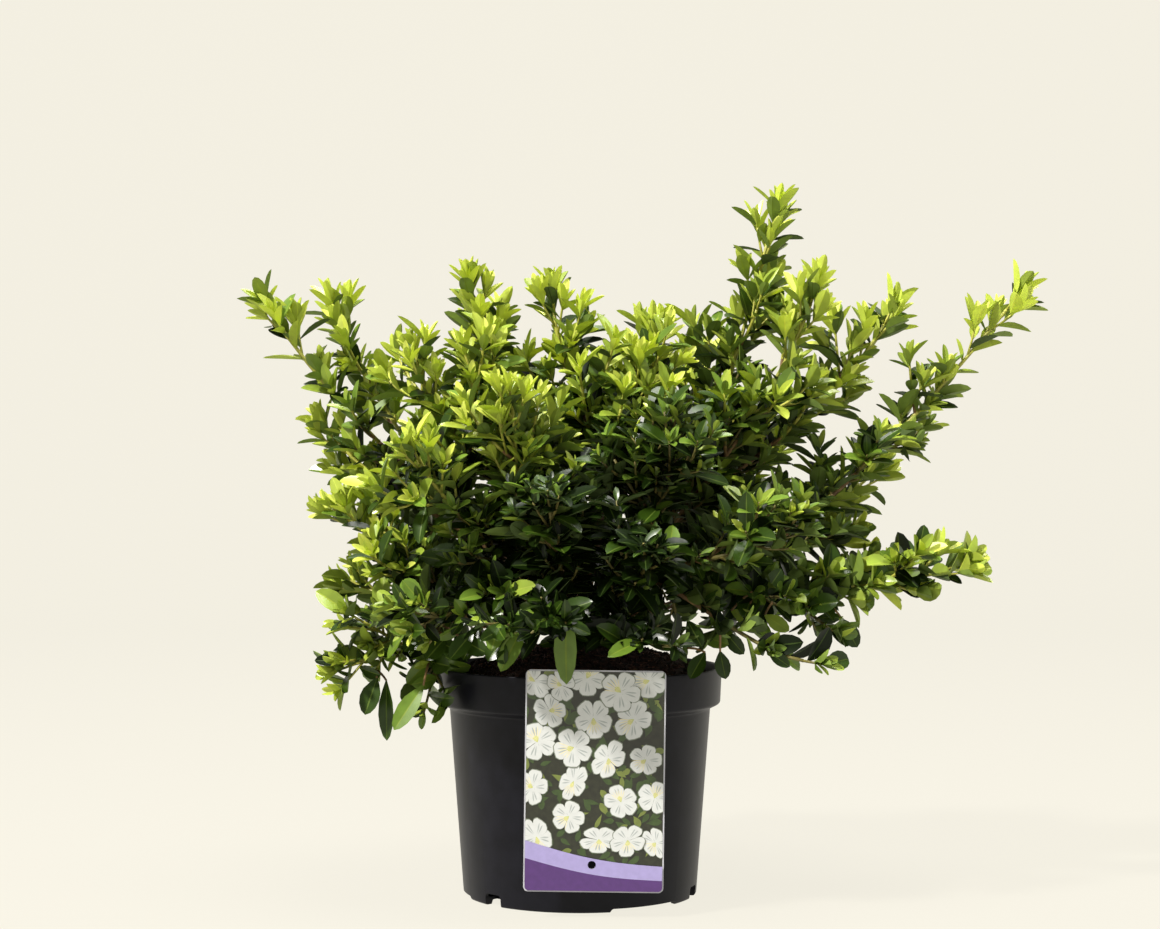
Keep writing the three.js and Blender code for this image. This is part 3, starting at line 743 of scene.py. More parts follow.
# Stems that stand bare against the sky up to this share
BARE_AGAINST_SKY = {"left_high": 0.66, "left_twin": 0.55, "left_mid": 0.4, "right_high": 0.3}
FRONT_CLEARANCE = 14.0

# A line that bears leaves: its mass, its rank from stem (0) to spray (2), where its leaves start, and
# whether a tuft ends it
Shoot = namedtuple("Shoot", "line index rank first_leaf tufted", defaults=[True])


def hides_front(point):
    """True where a leaf would hang in front of the plant card or the compost above it."""
    x, y, z = point
    return y < 0 and abs(x - LABEL_OFFSET) < LABEL_WIDTH / 2 + ROOM and z < POT_HEIGHT + FRONT_CLEARANCE


def has_room(line, index):
    """True where a spray's tip is in its own space and doesn't hide the front."""
    tip = line.at(1)
    return is_free(tip, index, SPRAY_ROOM) and not hides_front(tip)


def sprays_on(parent, index, start, end, random):
    """Short leafy shoots in a spiral along part of a stem or twig."""
    mass = masses[index]
    lift = SPRAY_LIFT * max(0.0, cos(radians(mass.end)))
    spacing = SPRAY_SPACING * max(1.0, FULL_GIRTH / mass.girth) * OPENNESS.get(mass.name, 1.0)
    count = max(1, round(parent.length * (end - start) / spacing))
    turn = random.uniform(0, 2 * pi)
    grown = []
    for i in range(count):
        share = start + (end - start) * (i + random.uniform(0.2, 0.8)) / count
        full = mass.girth * random.uniform(0.32, 0.6) * (1.1 - 0.45 * share)
        for aside in SPRAY_TURNS:
            roll = turn + i * GOLDEN_ANGLE + aside
            line = side_line(parent, share, roll, full, SPRAY_ANGLE, lift)
            if has_room(line, index):
                grown.append(Shoot(line, index, 2, SPRAY_FOOT))
                break
    return grown


def limb_with_sprays(line, index, rank, random):
    """A stem or twig, the leader that carries it on, a stem's whorl, and the sprays further in."""
    lift = LEADER_LIFT * max(0.0, cos(radians(masses[index].end)))
    leader = side_line(line, 1, 0, LEADER, 0, lift)
    start, end = SPRAYED_PART[rank]
    if rank == 0:
        start = max(start, BARE_AGAINST_SKY.get(masses[index].name, 0))
    limb = Shoot(line, index, rank, max(0.3, start), tufted=False)
    tips = [Shoot(leader, index, 2, 0.0)]
    if rank == 0 and masses[index].girth > SLIM:
        turn = random.uniform(0, 2 * pi)
        for share, aside in WHORL:
            twin = side_line(line, share, turn + aside, WHORL_LENGTH, WHORL_ANGLE, 2 * lift)
            if has_room(twin, index):
                tips.append(Shoot(twin, index, 2, WHORL_FOOT))
    return [limb] + tips + sprays_on(line, index, start, end, random)


growth = np.random.default_rng(11)
shoots = []
for index, mass in enumerate(masses):
    shoots += limb_with_sprays(mass.stem, index, 0, growth)
    for line in twig_lines[index]:
        shoots += limb_with_sprays(line, index, 1, growth)
print("leafy shoots:", len(shoots))

# %% Close the gaps over the crown's heart and at its lower back
# The boughs would show from above, between the top and the front, and from behind. More twigs lean
# over them: the mass, the place along its stem, the heading, the lean and the length
CLOSING = [
    ("top_centre", 0.1, 283, 66, 64), ("top_centre", 0.25, 258, 60, 52),
    ("top_centre", 0.4, 300, 50, 44), ("top_middle", 0.12, 306, 64, 66),
    ("top_middle", 0.35, 285, 54, 50), ("front_right", 0.3, 285, 8, 62),
    ("front_right", 0.5, 262, 20, 46), ("front_bright", 0.3, 300, 10, 62),
    ("front_bright", 0.5, 330, 20, 46), ("front_middle", 0.3, 280, 14, 50),
    ("back_low", 0.25, 12, 92, 52), ("back_low", 0.5, 20, 96, 50),
    ("back_low", 0.4, 40, 108, 46), ("back_right_low", 0.2, 140, 92, 52),
    ("back_right_low", 0.4, 146, 96, 50), ("back_right_low", 0.3, 120, 108, 44),
    ("back_top", 0.15, 84, 112, 62), ("back_top", 0.3, 78, 100, 56),
]
before = len(shoots)
for name, share, heading, lean, length in CLOSING:
    index = mass_names.index(name)
    out = direction(heading, lean)
    twig = bent_line(masses[index].stem.at(share), out, unit(out + UP * TWIG_LIFT), length)
    shoots += limb_with_sprays(twig, index, 1, growth)
print("shoots that close the gaps:", len(shoots) - before)

# %% Twigs for single leaves that hang over the rim, the card and the gap at the right
# Where each one's twig ends, the way its leaf hangs, the leaf's width and its tint
HANGING = [
    ((-8, -97, 176), (0, -3, -43), 13.5, 2), ((-31, -90, 167), (-14, -3, -27), 12, 2),
    ((-112, -50, 131), (0, -2, -35), 9.5, 1), ((-117, -54, 133), (-7, -4, -21), 12.5, 1),
    ((-90, -58, 129), (-17, -6, -25), 12, 2), ((72, -57, 148), (-9, -3, -15), 10, 1),
    ((81, -50, 148), (3, -3, -16), 9.5, 1), ((156, -10, 164), (9, -2, -17), 11.5, 1),
    ((-60, -88, 162), (-13, -5, -15), 11, 1), ((-49, -86, 161), (7, -7, -17), 10, 1),
    ((-76, -80, 158), (-11, -6, -12), 12, 1), ((-44, -92, 168), (-6, -6, -16), 10.5, 2),
    ((-66, -84, 157), (14, -6, -7), 10.5, 1), ((-84, -72, 157), (14, -8, -6), 9.5, 1),
    ((-88, -70, 163), (-12, -6, -13), 11, 1), ((-58, -76, 163), (-8, -8, -17), 12, 1),
    ((-70, -70, 160), (6, -8, -16), 12, 0), ((-42, -86, 160), (-10, -6, -14), 11, 1),
    ((62, -54, 166), (8, -5, -15), 10, 1), ((75, -48, 168), (14, -6, -9), 10, 2),
    ((88, -42, 171), (15, -5, -7), 9, 3), ((98, -40, 166), (13, -5, -10), 9, 2),
    ((70, -46, 157), (16, -6, -5), 9.5, 2), ((84, -44, 159), (11, -4, -13), 9, 1),
    ((108, -36, 168), (14, -4, -9), 9, 3),
]


def nearest_on_shoots(place):
    """The point of all the limbs and sprays that is nearest to a place."""
    points = np.concatenate([shoot.line.at(np.linspace(0.2, 1, 9)) for shoot in shoots])
    return points[np.linalg.norm(points - place, axis=1).argmin()]


hanging_twigs = []
for end, *_ in HANGING:
    root = nearest_on_shoots(end)
    hanging_twigs.append(Line(root, (root + end) / 2 + UP * 2, end))
print("hanging twigs, in mm:", [round(line.length) for line in hanging_twigs])

# %% [markdown]
# ## How old and how sunlit each shoot is
#
# Light makes the difference between the top and the heart of a shrub. Each spray is given one number for its
# youth and light, from its height and from how near it comes to the outside of the crown: young and sunlit
# on top and in front, old and shaded below and inside. It decides the colour of the twig, and the leaves'
# length, spread, bend and tint. The darker colours it gives in the shade are partly the real darkness of old
# wood and leaves and partly painted shade.

# %% The age and light of a spray
TINTS = 6
# The radius of the dark heart round the crown's foot, and the height and rise over which light grows
HEART = 60
DARK_BELOW = 170
LIGHT_RISE = 150
# Masses that hang in the shade of the crown, and those at the sides that the sun still reaches; a low number
# gives darker twig and leaf colours, painted shade
SUN = {
    "front_centre": 0.08, "front_middle": 0.16, "front_low": 0.22, "front_left_low": 0.6,
    "front_right": 0.42, "front_right_low": 0.56, "right_skirt": 0.6, "left_skirt": 0.82,
    "left_low": 0.82, "left_side": 0.97, "right_low": 0.85, "right_mid": 1.0, "right_shoulder": 0.9,
    "right_high": 0.88, "left_mid": 1.0, "spire": 0.82,
}


def youth_and_light_of(shoot):
    """From 0 for an old spray in the dark to 1 for a new one in the sun; low numbers give darker colours,
    partly painted shade.
    """
    tip = shoot.line.at(1)
    mass = masses[shoot.index]
    upright = cos(radians(mass.lean))
    sun = SUN.get(mass.name, 0.45 + 0.55 * upright)
    out = np.clip((np.linalg.norm(tip - crown_foot) - HEART) / (mass.reach - OVERHANG - HEART), 0, 1)
    high = np.clip((tip[2] - DARK_BELOW) / LIGHT_RISE, 0, 1)
    # Sun, distance out and height set how dark the spray's colours are: painted shade as well as age
    return float(sun * (0.15 + 0.85 * out**1.2) * (0.8 + 0.2 * high))


# %% [markdown]
# ## Bark
#
# The old wood is grey-brown with shallow cracks along it, and this year's shoots are smooth and
# yellow-green. Tubes with a bump texture would show flat outlines close to, so the trunk and boughs
# are tubes whose radius itself rises and falls, more slowly along the limb than round it. Thin twigs
# stay plain tubes with few sides.

# %% Tubes with bark relief
bark = surface(
    "azalea_bark", [(62, 46, 34), (104, 80, 56), (134, 108, 80)],
    roughness=0.85, scale=260.0, bump=0.7, depth=0.0008, stretch=(1, 1, 0.35),
)
brown_twig = surface("brown_twig", [(92, 70, 42), (138, 108, 62)], roughness=0.7, scale=200.0, bump=0.3)
# shaded_shoot is a darker copy of green_shoot: painted shade for shoots inside the crown, partly the duller
# colour of older shoots
shaded_shoot = surface("shaded_shoot", [(84, 78, 36), (116, 108, 50)], roughness=0.6, scale=160.0)
green_shoot = surface("green_shoot", [(146, 146, 56), (178, 176, 74)], roughness=0.5, scale=160.0)


def tube(line, radius_at, sides, steps, relief=None, start=0.0, end=1.0):
    """Points and faces of a closed tube along part of a line."""
    shares = np.linspace(start, end, steps + 1)
    centres, ahead = line.at(shares), line.along(shares)
    normal = np.cross(ahead[0], UP if abs(ahead[0][2]) < 0.9 else (1.0, 0, 0))
    turns = np.linspace(0, 2 * pi, sides, endpoint=False)
    points = []
    for share, centre, forward in zip(shares, centres, ahead):
        normal = unit(normal - forward * np.dot(normal, forward))
        across = np.cross(forward, normal)
        radius = radius_at(share) * (1 + (relief(turns, share) if relief else 0 * turns))
        ring = np.outer(np.cos(turns), normal) + np.outer(np.sin(turns), across)
        points.append(centre + ring * radius[:, None])
    rings = [range(step * sides, (step + 1) * sides) for step in range(steps + 1)]
    faces = [tuple(reversed(rings[0]))]
    for low, high in zip(rings, rings[1:]):
        faces += band(low, high)
    return np.concatenate(points), faces + [tuple(rings[-1])]


def cracked(seed, depth, length):
    """Relief like shallow bark cracks: ridges round the limb that wander slowly along it."""

    def relief(turns, share):
        slow = share * length / 14
        ridges = np.sin(5 * turns + 2.1 * np.sin(slow + seed)) + 0.6 * np.sin(9 * turns - 3 * slow + seed)
        rings = 0.35 * np.sin(share * length / 2.3 + np.sin(3 * turns))
        return depth * (ridges + rings) / 2

    return relief


def taper(start, end):
    return lambda share: start + (end - start) * share


def trunk_radius(share):
    flare = TRUNK_FLARE * exp(-share * TRUNK_HEIGHT / TRUNK_FLARE_HEIGHT)
    return TRUNK_RADIUS + (TRUNK_TIP_RADIUS - TRUNK_RADIUS) * share + flare


# %% Make the trunk and boughs
TRUNK_SIDES, BOUGH_SIDES, WOOD_STEPS = 40, 20, 60
TRUNK_CRACKS, BOUGH_CRACKS = 0.07, 0.09
shape = tube(trunk_line, trunk_radius, TRUNK_SIDES, WOOD_STEPS, cracked(1, TRUNK_CRACKS, TRUNK_HEIGHT))
trunk = new_piece("azalea_trunk", *shape, [bark])
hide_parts("trunk")
for number, (name, line) in enumerate(bough_lines.items()):
    cracks = cracked(number, BOUGH_CRACKS, line.length)
    shape = tube(line, taper(BOUGH_RADIUS, BOUGH_TIP_RADIUS), BOUGH_SIDES, WOOD_STEPS, cracks)
    limb = new_piece(name + "_wood", *shape, [bark])
    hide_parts(name)
print("boughs made:", len(bough_lines))

# %% Make the stems, twigs and sprays
# By rank: the brown share of a shoot, its radius at foot and tip, and its sides
BROWN_SHARE = (0.5, 0.3, 0.0)
SHOOT_RADII = ((STEM_RADIUS, STEM_TIP_RADIUS), (1.1, 0.9), (0.85, 0.65))
SHOOT_SIDES = (8, 6, 5)
# A shoot whose youth and light is below this gets the darker shaded_shoot skin, painted shade
SHADED = 0.5

wood = Heap()
for shoot in shoots:
    radius_at = taper(*SHOOT_RADII[shoot.rank])
    sides = SHOOT_SIDES[shoot.rank]
    brown_end = BROWN_SHARE[shoot.rank]
    if brown_end:
        wood.add(*tube(shoot.line, radius_at, sides, 4 + 8 // (1 + shoot.rank), end=brown_end), 0)
    skin = 1 if youth_and_light_of(shoot) < SHADED else 2
    wood.add(*tube(shoot.line, radius_at, sides, 6 if shoot.rank < 2 else 3, start=brown_end), skin)
for line in hanging_twigs:
    wood.add(*tube(line, taper(*SHOOT_RADII[2]), SHOOT_SIDES[2], 4), 0)
twigs = wood.piece("azalea_twigs", [brown_twig, shaded_shoot, green_shoot])
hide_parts(*mass_names)
print("twig faces:", len(twigs.data.polygons))

# %% [markdown]
# ## Leaves
#
# An azalea leaf is a pointed oval, widest past its middle, a little folded along a pale rib and bent
# down at the tip. New ones stand in upright tufts and are yellow-green. Older ones are dark, glossy
# and spread flat. One leaf could be copied as instances, but joined meshes travel better into other
# programs, so all leaves of one tint are worked out together as arrays and made into one mesh.

# %% The leaf's form
# The outline as a paper pattern: (share of the length, half width as a share of the greatest)
LEAF_PATTERN = np.array(
    [(0.0, 0.1), (0.16, 0.5), (0.36, 0.9), (0.56, 1.0), (0.76, 0.84), (0.92, 0.48), (1.0, 0.0)]
)
LEAF_THICKNESS = 0.45
RIB = 0.075


def leaf_template():
    """For each point of a leaf: share of the length, half width, side from -1 to 1, 1 if it is below."""
    columns = [(-1, 0), (-RIB, 0), (RIB, 0), (1, 0), (RIB, 1), (-RIB, 1)]
    rows = [(share, half, side, below) for share, half in LEAF_PATTERN[:-1] for side, below in columns]
    return np.array(rows + [(1.0, 0.0, 0.0, 0.0)])


def leaf_faces():
    """Faces of a leaf, with kind 0 for the upper side, 1 for the rib and 2 for the underside."""
    strips = [(0, 1, 0), (1, 2, 1), (2, 3, 0), (3, 4, 2), (4, 5, 1), (5, 0, 2)]
    across = len(strips)
    tip = across * (len(LEAF_PATTERN) - 1)
    faces, kinds = [], []
    for row in range(0, tip, across):
        for left, right, kind in strips:
            ahead = (row + across + right, row + across + left) if row + across < tip else (tip,)
            faces.append((row + left, row + right, *ahead))
            kinds.append(kind)
    return faces + [tuple(reversed(range(across)))], kinds + [2]


TEMPLATE = leaf_template()
TEMPLATE_FACES, TEMPLATE_KINDS = leaf_faces()
print("faces in a leaf:", len(TEMPLATE_FACES))


def leaf_points(roots, blades, faces_up, lengths, widths, bends, folds):
    """Points of many leaves at once, as an array of leaf by point by coordinate."""
    share, half, side, below = TEMPLATE.T
    across = np.cross(faces_up, blades)
    x = lengths[:, None] * share * (1 - 0.12 * bends[:, None] * share)
    y = widths[:, None] / 2 * half * side
    cup = folds[:, None] * widths[:, None] / 2 * half * np.abs(side)
    body = LEAF_THICKNESS * below * np.clip(half * 1.4, 0.4, 1)
    z = cup - bends[:, None] * lengths[:, None] * share**2 * 0.5 - body
    return (
        roots[:, None]
        + x[..., None] * blades[:, None]
        + y[..., None] * across[:, None]
        + z[..., None] * faces_up[:, None]
    )


# %% [markdown]
# ## Where leaves stand
#
# Leaves leave a shoot in a spiral, each a golden angle on from the last, and close up to a tuft at its tip.
# An old leaf is longer, spreads wide and is dark. A young one is shorter, stands up and is pale. A leaf in
# the crown's shade also gets a darker tint, which is painted shade.

# %% Set out the leaves
TUFT = 6
TUFT_LENGTH = 8.5
# Tuft leaves are longer in a mass that reaches further than this, and shorter in one that does not
USUAL_REACH = 235.0
# Masses whose leaves are broader than the others'
BREADTH = {"right_low": 1.4, "right_skirt": 1.25, "left_skirt": 1.15}
# By rank: how far apart leaves stand, before the shoot's youth changes it
LEAF_SPACING = (7.6, 5.6, 4.3)
# An old leaf's length and its spread in degrees, and the length of a tuft's leaf in the shade
LEAF_LENGTH = 24.5
LEAF_SPREAD = 64
TUFT_LEAF = 15.5
# Leaves keep this far from the pot, the card and the compost
LEAF_ROOM = 0.6

# One list of leaves for each tint, from dark, for old leaves and painted shade, to pale, for new sunlit ones
leaf_rows = [[] for _ in range(TINTS)]


def add_leaf(tint, root, blade, face, *sizes):
    """Keeps a leaf: its foot, the way of its blade, its face, and its length, width, bend and fold."""
    face = unit(face - blade * np.dot(face, blade))
    leaf_rows[tint].append((*root, *blade, *face, *sizes))


def set_leaf(shoot, share, roll, spread, length, width, leaf_youth_and_light, random):
    """One leaf that leans out from its shoot by its spread and turns up towards the light."""
    root, ahead, blade = branch_off(shoot.line, share, roll, spread)
    blade = unit(blade + UP * max(0.0, 0.25 - blade[2]) * random.uniform(0.1, 0.9))
    face = unit(ahead - blade * np.dot(ahead, blade)) + UP * (0.7 - 0.4 * leaf_youth_and_light)
    tip, middle = root + blade * length, root + blade * length * 0.55
    if hides_front(tip) or not (clear_of_pot(tip, LEAF_ROOM) and clear_of_pot(middle, LEAF_ROOM)):
        return
    bend = random.uniform(0.04, 0.45) * (1.15 - leaf_youth_and_light)
    fold = random.uniform(0.2, 0.45) + 0.25 * leaf_youth_and_light
    # The tint follows the leaf's youth and light, so shaded leaves get darker tints: painted shade
    tint = int(np.clip(leaf_youth_and_light * TINTS + random.normal() * 0.9, 0, TINTS - 1))
    add_leaf(tint, root + blade * 0.3, blade, face, length, width, bend, fold)


def clothe(shoot, random):
    """Leaves in a spiral along a shoot and an upright tuft at its tip."""
    youth_and_light = youth_and_light_of(shoot)
    line = shoot.line
    breadth = BREADTH.get(masses[shoot.index].name, 1.0)
    spacing = LEAF_SPACING[shoot.rank] * (0.72 + 0.36 * youth_and_light)
    room = 0.95 - shoot.first_leaf
    count = max(3, int(line.length * room / spacing))
    turn = random.uniform(0, 2 * pi)
    for i in range(count):
        along = (i + 0.5) / count
        leaf_youth_and_light = youth_and_light * (0.14 + 0.8 * along**0.8) if shoot.rank == 2 else youth_and_light * (0.15 + 0.75 * along)
        length = (LEAF_LENGTH - 3.5 * leaf_youth_and_light - shoot.rank) * random.uniform(0.62, 1.15)
        width = length * random.uniform(0.36, 0.48) * (1.06 - 0.16 * leaf_youth_and_light) * breadth
        spread = radians(LEAF_SPREAD - 32 * leaf_youth_and_light + random.uniform(-14, 14))
        roll = turn + i * GOLDEN_ANGLE
        set_leaf(shoot, shoot.first_leaf + room * along, roll, spread, length, width, leaf_youth_and_light, random)
    if not shoot.tufted:
        return
    vigour = np.clip(masses[shoot.index].reach / USUAL_REACH, 0.88, 1.12)
    for i in range(TUFT):
        inner = i / TUFT
        length = vigour * (TUFT_LEAF + 4.5 * youth_and_light) * (1 - 0.42 * inner) * random.uniform(0.75, 1.2)
        width = length * random.uniform(0.29, 0.39) * breadth
        spread = radians((35 - 29 * inner) * random.uniform(0.7, 1.3) + 20 * (1 - youth_and_light))
        share = max(0.0, 1 - (1 - inner) * TUFT_LENGTH / line.length)
        leaf_youth_and_light = min(1.0, youth_and_light * 1.08)
        set_leaf(shoot, share, turn + (count + i) * GOLDEN_ANGLE, spread, length, width, leaf_youth_and_light, random)


weather = np.random.default_rng(23)
for shoot in shoots:
    clothe(shoot, weather)
print("leaves by tint, old to new:", [len(rows) for rows in leaf_rows])

# %% Hang the single leaves from their twigs
FORWARDS = np.array([-0.3, -1.0, 0.2])
for end, hang, width, tint in HANGING:
    length = np.linalg.norm(hang)
    add_leaf(tint, end, np.array(hang) / length, FORWARDS, length, width, 0.08, 0.2)
print("hanging leaves:", len(HANGING))

# %% [markdown]
# ## The leaves' tints
#
# Six plain tints run from the deep bottle green of last year's leaves to the yellow-green of the newest, and
# the darker ones also stand for the crown's shade as painted shade. Each has a glossy upper side, a pale rib
# and a paler, duller underside. Thin leaves let some light through, so a share of a Translucent shader is
# mixed in, more for the young than for the old.

# %% Leaf materials
UPPER = [(15, 28, 3), (44, 66, 12), (102, 130, 42), (146, 167, 56), (184, 198, 76), (214, 222, 102)]
UNDER = [(84, 100, 58), (102, 122, 58), (124, 146, 62), (148, 166, 64), (176, 190, 74), (198, 212, 88)]
RIBS = [(56, 74, 28), (84, 104, 36), (122, 142, 48), (158, 174, 62), (192, 204, 78), (218, 226, 100)]
# How dark a leaf's mottling is, and how much brighter the light is that comes through it
LEAF_MOTTLE = 0.78
LEAF_GLOW = 1.5


def leaf_material(name, colour, roughness, through, coat, gloss):
    """A leaf's skin: slightly mottled, glossy, and letting a share of the light through."""
    material, nodes, shader = blank_material(name)
    light = screen_colour(*colour)
    settle(shader, Roughness=roughness, Coat_Weight=coat, Coat_Roughness=0.22, Specular_IOR_Level=gloss)
    noise = mottle(nodes, shader, [shaded(light, LEAF_MOTTLE), light], 140.0, detail=2.0)
    roughen(nodes, shader, noise, 0.25, 0.0004)
    glow = settle(nodes.new("ShaderNodeBsdfTranslucent"), Color=shaded(light, LEAF_GLOW))
    mix = settle(nodes.new("ShaderNodeMixShader"), Fac=through)
    wire(shader, "BSDF", mix, 1)
    wire(glow, "BSDF", mix, 2)
    wire(mix, "Shader", nodes["Material Output"], "Surface")
    return material


def leaf_materials(tint):
    young = tint / (TINTS - 1)
    roughness, through = 0.36 + 0.06 * young, 0.04 + 0.28 * young
    coat, gloss = 0.1 + 0.6 * young**0.8, 0.12 + 0.3 * young
    return [
        leaf_material(f"leaf_upper_{tint}", UPPER[tint], roughness, through, coat, gloss),
        leaf_material(f"leaf_rib_{tint}", RIBS[tint], 0.45, through, 0.1, gloss),
        leaf_material(f"leaf_under_{tint}", UNDER[tint], 0.6, through, 0.0, gloss),
    ]


# %% Make the leaves, one mesh for each tint
LEAVES_IN_A_PIECE = 2800
LEAF_EDGE = radians(26)


def leaf_piece(name, rows, materials):
    rows = np.array(rows)
    points = leaf_points(rows[:, 0:3], rows[:, 3:6], rows[:, 6:9], *rows[:, 9:13].T)
    per_leaf = len(TEMPLATE)
    faces = [
        tuple(i + start for i in face)
        for start in range(0, len(rows) * per_leaf, per_leaf)
        for face in TEMPLATE_FACES
    ]
    foliage = new_piece(name, points.reshape(-1, 3), faces, materials, TEMPLATE_KINDS * len(rows))
    foliage.data.set_sharp_from_angle(angle=LEAF_EDGE)
    return foliage


for tint, rows in enumerate(leaf_rows):
    materials = leaf_materials(tint)
    for start in range(0, len(rows), LEAVES_IN_A_PIECE):
        name = f"azalea_leaves_{tint}_{start // LEAVES_IN_A_PIECE}"
        foliage = leaf_piece(name, rows[start : start + LEAVES_IN_A_PIECE], materials)
        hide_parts(*mass_names)

# %% [markdown]
# ## The plant card
#
# A printed plastic card hangs on the rim by a strap. Its picture could be an image, but a few flat
# shapes laid on the card stay sharp and need no file: a dark green ground, leaves, open white
# blossoms, and two bands of lilac and purple at the foot. Each layer lies a hair in front of the last.

# %% Card sizes and inks
LABEL_HEIGHT = 125.0
LABEL_FOOT = 15.2
LABEL_THICKNESS = 0.6
LABEL_CORNER = 3.0
CORNER_POINTS = 9
LABEL_TILT = 0.0134
LABEL_HOLE_RADIUS = 2.3
LABEL_HOLE_RISE = 15.5
LABEL_HOLE_OFFSET = -1.0
LABEL_BACK = -(POT_COLLAR_RADIUS + SEAT)
LAYER = 0.04
HOOK_WIDTH = 22.0
HOOK_THICKNESS = 0.8
HOOK_REACH = 5.2
HOOK_DROP = 7.0

card_plastic = surface("card_plastic", [(176, 176, 184), (190, 190, 196)], roughness=0.35, scale=60.0)


def ink(name, colour, shade):
    """A glossy printing ink."""
    return surface(name, [colour], 0.3, 300.0, shade, Coat_Weight=0.3, Coat_Roughness=0.15)


def on_card(outline, layer):
    """Places flat shapes, drawn from the middle of the card's foot, on the tilted card."""
    outline = np.asarray(outline, float)
    x = outline[:, 0] * cos(LABEL_TILT) + outline[:, 1] * sin(LABEL_TILT)
    z = outline[:, 1] * cos(LABEL_TILT) - outline[:, 0] * sin(LABEL_TILT)
    y = np.full(len(outline), LABEL_BACK - LABEL_THICKNESS - layer * LAYER)
    return np.column_stack([x + LABEL_OFFSET, y, z + LABEL_FOOT])


def card_outline(inset=0.0):
    """The card's outline with round corners, anticlockwise as seen from the front."""
    corner = LABEL_CORNER - inset
    right, low, high = LABEL_WIDTH / 2 - inset - corner, inset + corner, LABEL_HEIGHT - inset - corner
    outline = []
    for i, (cx, cz) in enumerate([(right, low), (right, high), (-right, high), (-right, low)]):
        for angle in np.radians(np.linspace(90 * i - 90, 90 * i, CORNER_POINTS)):
            outline.append((cx + corner * cos(angle), cz + corner * sin(angle)))
    return outline


# %% The card, with its hole and strap
def flat_curve(name, loops, thickness):
    """A flat plate with holes, from closed loops of (x, z), as a mesh."""
    curve = bpy.data.curves.new(name, "CURVE")
    curve.dimensions = "2D"
    curve.fill_mode = "BOTH"
    curve.extrude = thickness / 2 * MM
    for loop in loops:
        spline = curve.splines.new("POLY")
        spline.points.add(len(loop) - 1)
        for point, (x, z) in zip(spline.points, loop):
            point.co = (x * MM, z * MM, 0, 1)
        spline.use_cyclic_u = True
    shape = add_object(name, curve)
    mesh = shaped_mesh(shape)
    bpy.data.objects.remove(shape)
    return mesh


def lay_on_card(sheet, outwards):
    """Stands a flat sheet, drawn in x and y, up on the card at a distance in front of the card's back."""
    foot = Vector((LABEL_OFFSET, LABEL_BACK - outwards, LABEL_FOOT)) * MM
    tilt = Matrix.Rotation(LABEL_TILT, 4, "Y")
    sheet.matrix_world = Matrix.Translation(foot) @ tilt @ Matrix.Rotation(radians(90), 4, "X")
    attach(sheet, "root")


def hole_loop():
    """The punched hole as a closed loop of (x, z)."""
    turns = np.linspace(0, 2 * pi, 32, endpoint=False)
    ring = LABEL_HOLE_RADIUS * np.column_stack([np.cos(turns), np.sin(turns)])
    return (ring + (LABEL_HOLE_OFFSET, LABEL_HOLE_RISE)).tolist()


def card_sheet(name, loops, thickness, outwards, material):
    """A flat sheet that stands on the card, from closed loops of (x, z)."""
    mesh = flat_curve(name, loops, thickness)
    mesh.materials.append(material)
    sheet = add_object(name, mesh)
    lay_on_card(sheet, outwards)
    return sheet


def box_points(low, high):
    return [(x, y, z) for x in (low[0], high[0]) for y in (low[1], high[1]) for z in (low[2], high[2])]


BOX_FACES = [(0, 1, 3, 2), (4, 6, 7, 5), (0, 4, 5, 1), (2, 3, 7, 6), (0, 2, 6, 4), (1, 5, 7, 3)]


def make_strap():
    """The strap goes from the card's top over the rim and a short way down inside."""
    heap = Heap()
    front = LABEL_BACK - LABEL_THICKNESS
    back = LABEL_BACK - LABEL_THICKNESS / 2 + HOOK_REACH
    low = POT_HEIGHT + SEAT
    half = HOOK_WIDTH / 2
    heap.add(box_points((-half, front, low), (half, back, low + HOOK_THICKNESS)), BOX_FACES)
    foot = low + HOOK_THICKNESS - HOOK_DROP
    heap.add(box_points((-half, back - HOOK_THICKNESS, foot), (half, back, low)), BOX_FACES)
    strap = heap.piece("card_strap", [card_plastic], smooth=False)
    bevel = strap.modifiers.new("soft_edges", "BEVEL")
    bevel.width = 0.25 * MM
    bevel.segments = 2
    return strap


loops = [card_outline(), hole_loop()]
card = card_sheet("plant_card", loops, LABEL_THICKNESS, LABEL_THICKNESS / 2, card_plastic)
strap = make_strap()
for piece in (card, strap):
    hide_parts("label")

# %% Inks for the card's picture
INKS = [
    ink("ink_ground", (40, 42, 26), 0.55),
    ink("ink_leaf", (58, 78, 34), 0.7),
    ink("ink_light_leaf", (112, 124, 56), 0.8),
    ink("ink_petal", (206, 208, 206), 0.93),
    ink("ink_fold", (164, 170, 168), 0.93),
    ink("ink_throat", (190, 196, 104), 0.8),
    ink("ink_stamen", (226, 216, 170), 0.9),
    ink("ink_edge", (120, 128, 112), 0.8),
]
GROUND, LEAF, LIGHT_LEAF, PETAL, FOLD, THROAT, STAMEN, EDGE = range(len(INKS))
lilac_ink = ink("ink_lilac", (158, 148, 196), 0.92)
purple_ink = ink("ink_purple", (78, 42, 108), 0.85)
# The unprinted edge, and how high the bands at the foot hide the picture
BORDER = 0.8
HIDDEN_FOOT = 4.0
# The first printed shape lies on this layer, and each one lies this share of a layer further out
FIRST_LAYER = 2.0
LAYER_STEP = 0.02


def petal_outline(length, width, notch=0.1):
    """One petal or leaf, drawn along x from its foot, as a closed outline."""
    shares = np.linspace(0, 1, 9)
    half = np.sin(np.pi * shares**1.5) ** 0.75 * width / 2
    half[0] = 0.06 * width
    reach = shares * length
    reach[-1] -= notch * length
    left = np.column_stack([reach, half])
    right = np.column_stack([reach, -half])[::-1]
    if notch:
        return np.concatenate([right[:-1], left[:-1], [[reach[-1], 0]]])
    return np.concatenate([right, left[1:-1]])


